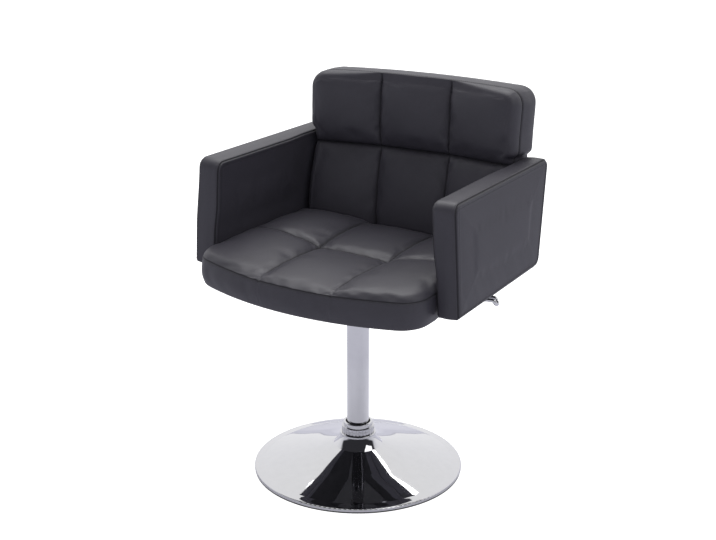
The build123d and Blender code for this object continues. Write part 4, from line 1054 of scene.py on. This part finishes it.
def arm_form(side):
    """One arm, as make_cushion takes it. Lengths inside formulas are millimetres."""
    corner, back, rise, outward = arm_axes(side)
    base_z = ARM_CORNER[2]
    up = math.cos(ARM_LEAN)
    shape = [
        (0.0, 0.0),
        (ARM_BOTTOM_LENGTH, (ARM_REAR_BOTTOM - base_z) / up),
        (ARM_TOP_LENGTH, (ARM_REAR_TOP - base_z) / up),
        (0.0, (ARM_FRONT_TOP - base_z) / up),
    ]
    outline = rounded_polygon(shape, ARM_ROUNDS, 16)
    centre = outline.mean(axis=0)
    sides = [path + centre for path in split_outline(outline - centre, ARM_CORNERS)]
    plan = coons(*[
        along(path, graded([0, 1], (cells,), ARM_CROWDING)) for path, cells in zip(sides, ARM_CELLS * 2)
    ])
    outer = loop_of(plan)

    def spot(flat, w):
        """Points in the model's frame from flat places on the arm and their depth."""
        w = np.broadcast_to(w, flat.shape[:-1])[..., None]
        length, height = flat[..., :1], flat[..., 1:2]
        inner = ARM_INNER_SWELL * ease((height - 70.0) / 60.0) * ease((290.0 - length) / 60.0)
        outer_low = ease((200.0 - height) / 130.0) * ease((330.0 - length) / 300.0)
        from_inner = 1 + w / ARM_THICKNESS
        w = w - inner * (1 - from_inner) + (side < 0) * (1.0 + ARM_OUTER_SWELL * outer_low) * from_inner
        return corner + length * back + height * rise + w * outward

    def ring(inset, w):
        return spot(moved_in(outer, inset), w)

    # the two faces: a sewn border, a topstitched line, small creases and a crown
    face = inset_grid(plan, ARM_INSET)
    edge = edge_distance(face, outer) - ARM_INSET
    low_pull = np.exp(-face[..., 1] / 38.0) * pucker(face[..., 0] + 0.6 * face[..., 1], 74.0)
    column, row = (np.arange(n) for n in edge.shape)
    line = np.minimum.outer(np.minimum(column, column[::-1]), np.minimum(row, row[::-1]))
    topstitch = bell(line - ARM_TOPSTITCH_LINE, 1.1)
    border = ARM_BORDER * bell(edge - 1.0, 4.0) - ARM_TOPSTITCH_DEPTH * topstitch
    creases = ARM_CREASE * pucker(face[..., 0] + face[..., 1], 17.0) * np.exp(-edge / 9.0)
    crown = ARM_CROWN * (1 - np.exp(-np.maximum(edge - 8.0, 0) / 28.0))
    pull = ARM_LOW_PULL * low_pull * ease(edge / 12.0)
    front_grid = spot(face, crown - 0.4 + border + creases + pull)
    rear_grid = spot(face, -ARM_THICKNESS + 0.5 - 0.5 * border - creases)

    # inset, depth and painted seam shade of each ring, from the outer face over its padded edge, into the
    # corner seam and out onto the band; the inner face's edge mirrors it
    half = [
        (5.8, -0.25, 0),
        (4.6, -0.5, 0),
        (3.8, -1.2, 0.3),
        (3.7, -2.3, 0.7),
        (3.5, -3.1, 0.8),
        (3.1, -3.5, 0.8),
        (2.3, -3.7, 0.7),
        (1.2, -3.8, 0.3),
        (0.5, -4.6, 0),
        (0.15, -6.2, 0),
        (0.0, -10.0, 0),
    ]
    gather = ARM_CREASE * pucker(running(outer), 16.0)
    edges = [(inset + gather * math.exp(-abs(w + 3.0) / 4.0), w) for inset, w, _ in half]
    rings = [ring(inset, w) for inset, w in edges]
    rings += [ring(inset, share * ARM_THICKNESS) for inset, share in ARM_BAND]
    rings += [ring(inset, -ARM_THICKNESS - w) for inset, w in reversed(edges)]
    points, faces = closed_box(front_grid, rings, rear_grid)
    dark = [d for _, _, d in half]
    # painted shade along the topstitched groove; the rings' darkness paints shade in the corner seam
    topstitch_shade = 0.35 * topstitch
    free = ease((edge - 9.0) / 70.0)
    clear = ease((face[..., 1] - 70.0) / 30.0) * ease((250.0 - face[..., 0]) / 40.0)
    painted_seam_shade = layered(topstitch_shade, [*dark, *[0] * len(ARM_BAND), *reversed(dark)], topstitch_shade, outer)
    grips = layered(1 - free, [1] * len(rings), 1 - free * clear, outer)
    caps = layered(ARM_SWELL * free, [0] * len(rings), ARM_SWELL * (free * clear), outer)
    return points, faces, painted_seam_shade, grips, caps, [ring(0.2, -6.4), ring(0.2, -ARM_THICKNESS + 6.4)]


# ================================================================ stitches
def stitch_tree():
    """Geometry Nodes: short round stitches set end to end along a curve."""
    tree = bpy.data.node_groups.new("stitch_row", "GeometryNodeTree")
    face = tree.interface
    face.new_socket("Geometry", in_out="INPUT", socket_type="NodeSocketGeometry")
    sizes = {"Pitch": STITCH_PITCH, "Length": STITCH_LENGTH, "Thread radius": THREAD_RADIUS}
    for name, size in sizes.items():
        socket = face.new_socket(name, in_out="INPUT", socket_type="NodeSocketFloat")
        socket.default_value = size * MM
    face.new_socket("Thread", in_out="INPUT", socket_type="NodeSocketMaterial")
    face.new_socket("Geometry", in_out="OUTPUT", socket_type="NodeSocketGeometry")
    make = tree.nodes.new
    source = make("NodeGroupInput")
    target = make("NodeGroupOutput")
    curve = make("GeometryNodeMeshToCurve")
    resample = make("GeometryNodeResampleCurve")
    resample.mode = "LENGTH"
    tangent = make("GeometryNodeInputTangent")
    turn = make("FunctionNodeAlignRotationToVector")
    turn.axis = "Z"
    stitch = make("GeometryNodeMeshUVSphere")
    for name, value in (("Segments", 6), ("Rings", 5), ("Radius", 1.0)):
        stitch.inputs[name].default_value = value
    shape = make("GeometryNodeTransform")
    size = make("ShaderNodeCombineXYZ")
    half = make("ShaderNodeMath")
    half.operation = "MULTIPLY"
    half.inputs[1].default_value = 0.5
    instance = make("GeometryNodeInstanceOnPoints")
    realise = make("GeometryNodeRealizeInstances")
    paint = make("GeometryNodeSetMaterial")
    joins = [
        (source, "Geometry", curve, "Mesh"),
        (curve, "Curve", resample, "Curve"),
        (source, "Pitch", resample, "Length"),
        (tangent, "Tangent", turn, "Vector"),
        (source, "Length", half, 0),
        (source, "Thread radius", size, "X"),
        (source, "Thread radius", size, "Y"),
        (half, 0, size, "Z"),
        (stitch, "Mesh", shape, "Geometry"),
        (size, 0, shape, "Scale"),
        (resample, "Curve", instance, "Points"),
        (shape, "Geometry", instance, "Instance"),
        (turn, "Rotation", instance, "Rotation"),
        (instance, "Instances", realise, "Geometry"),
        (realise, "Geometry", paint, "Geometry"),
        (source, "Thread", paint, "Material"),
        (paint, "Geometry", target, "Geometry"),
    ]
    for giver, given, taker, taken in joins:
        tree.links.new(giver.outputs[given], taker.inputs[taken])
    return tree


def make_stitches(name, paths, tree):
    """Rows of stitches along closed millimetre paths, as one plain mesh."""
    points = []
    edges = []
    for path in paths:
        start = len(points)
        points.extend((np.asarray(path) * MM).tolist())
        count = len(path)
        edges.extend((start + k, start + (k + 1) % count) for k in range(count))
    mesh = bpy.data.meshes.new(name)
    mesh.from_pydata(points, edges, [])
    piece = bpy.data.objects.new(name, mesh)
    scene.collection.objects.link(piece)
    rows = piece.modifiers.new("stitches", "NODES")
    rows.node_group = tree
    inputs = [item for item in tree.interface.items_tree if item.in_out == "INPUT"]
    rows[{item.name: item.identifier for item in inputs}["Thread"]] = thread
    bake_modifiers(piece)
    piece.data.materials.clear()
    piece.data.materials.append(thread)
    shade_smooth(piece)
    return piece


# ================================================================ the chair
def make_cushion(name, form, replaced, tree, fullness):
    """A sewn cushion and its stitches, in place of its model nodes.

    form holds the points, the faces, how much painted seam shade darkens each point, how firmly it is
    held, how far it may move, and the paths of the stitches."""
    points, faces, painted_seam_shade, held, cap, paths = form
    cushion = make_cover(name, points, oriented(points, faces), painted_seam_shade, held, cap, fullness)
    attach(cushion, "seat")
    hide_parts(*replaced)
    rows = make_stitches(name + "_stitches", paths, tree)
    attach(rows, "seat")


def make_camera():
    data = bpy.data.cameras.new("camera")
    data.sensor_width = SENSOR_WIDTH
    data.sensor_fit = "HORIZONTAL"
    data.lens = CAMERA_LENS
    data.clip_end = CAMERA_CLIP
    camera = bpy.data.objects.new("camera", data)
    scene.collection.objects.link(camera)
    camera.location = (
        math.sin(CAMERA_TURN) * CAMERA_DISTANCE,
        -math.cos(CAMERA_TURN) * CAMERA_DISTANCE,
        CAMERA_HEIGHT,
    )
    camera.rotation_euler = (math.pi / 2 - CAMERA_PITCH, 0.0, CAMERA_TURN)
    scene.camera = camera


def make_lamp(name, location, aim, size, power):
    """A soft square lamp, aimed at a point."""
    data = bpy.data.lights.new(name, "AREA")
    data.size = size
    data.energy = power
    lamp = bpy.data.objects.new(name, data)
    scene.collection.objects.link(lamp)
    lamp.location = location
    way = Vector(aim) - Vector(location)
    lamp.rotation_euler = way.to_track_quat("-Z", "Y").to_euler()


def make_floor():
    """A floor that keeps the chair's shadow and that the camera sees as white; other rays see it greying
    away from the chair, painted shade of the light falling off.
    """
    mesh = bpy.data.meshes.new("floor")
    signs = ((-1, -1), (1, -1), (1, 1), (-1, 1))
    mesh.from_pydata([(FLOOR_REACH * a, FLOOR_REACH * b, 0) for a, b in signs], [], [(0, 1, 2, 3)])
    floor = bpy.data.objects.new("floor", mesh)
    scene.collection.objects.link(floor)
    graph, where = new_material("white_floor")
    tone = graph.ramp(graph.vector("LENGTH", where, out="Value"), FLOOR_TONES)
    matte = graph.node("ShaderNodeBsdfDiffuse", {}, tone)
    paper = graph.node("ShaderNodeBsdfDiffuse", {}, (*FLOOR_PAPER, 1.0))
    glow = graph.node("ShaderNodeEmission", {}, (*WHITE, 1.0), FLOOR_GLOW)
    seen = graph.node("ShaderNodeAddShader", {}, paper, glow)
    final = graph.node("ShaderNodeMixShader", {}, graph.ray("Camera"), matte, seen)
    mesh.materials.append(graph.end("ShaderNodeOutputMaterial", final))


def make_room():
    """A pale room for the reflections, with a dark band that only they show, seen as plain white."""
    scene.world = bpy.data.worlds.new("studio")
    graph = Graph(scene.world)
    way = graph.node("ShaderNodeTexCoord", {}, out="Generated")
    height = graph.node("ShaderNodeSeparateXYZ", {}, way, out="Z")
    ahead = (-math.sin(CAMERA_TURN), math.cos(CAMERA_TURN), 0.0)
    behind = graph.vector("DOT_PRODUCT", way, ahead, out="Value")
    wall = graph.ramp(behind * 0.5 + 0.5, WALL_TONES)
    overhead = graph.ramp(height, [(0.30, 0.0), (0.75, 1.0)])
    sky = graph.mix(overhead, wall, CEILING)
    near_side = graph.ramp(behind * -0.5 + 0.5, [(0.42, 0.0), (0.50, 1.0)])
    raised = graph.ramp(height, [(0.14, 0.0), (0.20, 1.0), (0.86, 1.0), (0.92, 0.0)])
    room = graph.mix(near_side * raised * graph.ray("Glossy"), sky, DARK_BAND)
    seen = graph.mix(graph.ray("Camera"), room, WHITE)
    graph.end("ShaderNodeOutputWorld", graph.node("ShaderNodeBackground", {}, seen, 1.0))


scene.view_settings.view_transform = "Standard"
make_camera()
make_floor()
make_room()
for lamp in LAMPS:
    make_lamp(*lamp)
dress_model_nodes()
stitches = stitch_tree()
for word, form in (("seat", seat_form()), ("back", back_form())):
    replaced = (f"{word}_cover", f"{word}_foam")
    make_cushion(f"{word}_cushion", form, replaced, stitches, PANEL_FULLNESS)
for side, word in ((1.0, "right"), (-1.0, "left")):
    replaced = (f"arm_cover_{word}", f"arm_foam_{word}")
    make_cushion(f"arm_cushion_{word}", arm_form(side), replaced, stitches, ARM_FULLNESS)

bpy.context.view_layer.update()
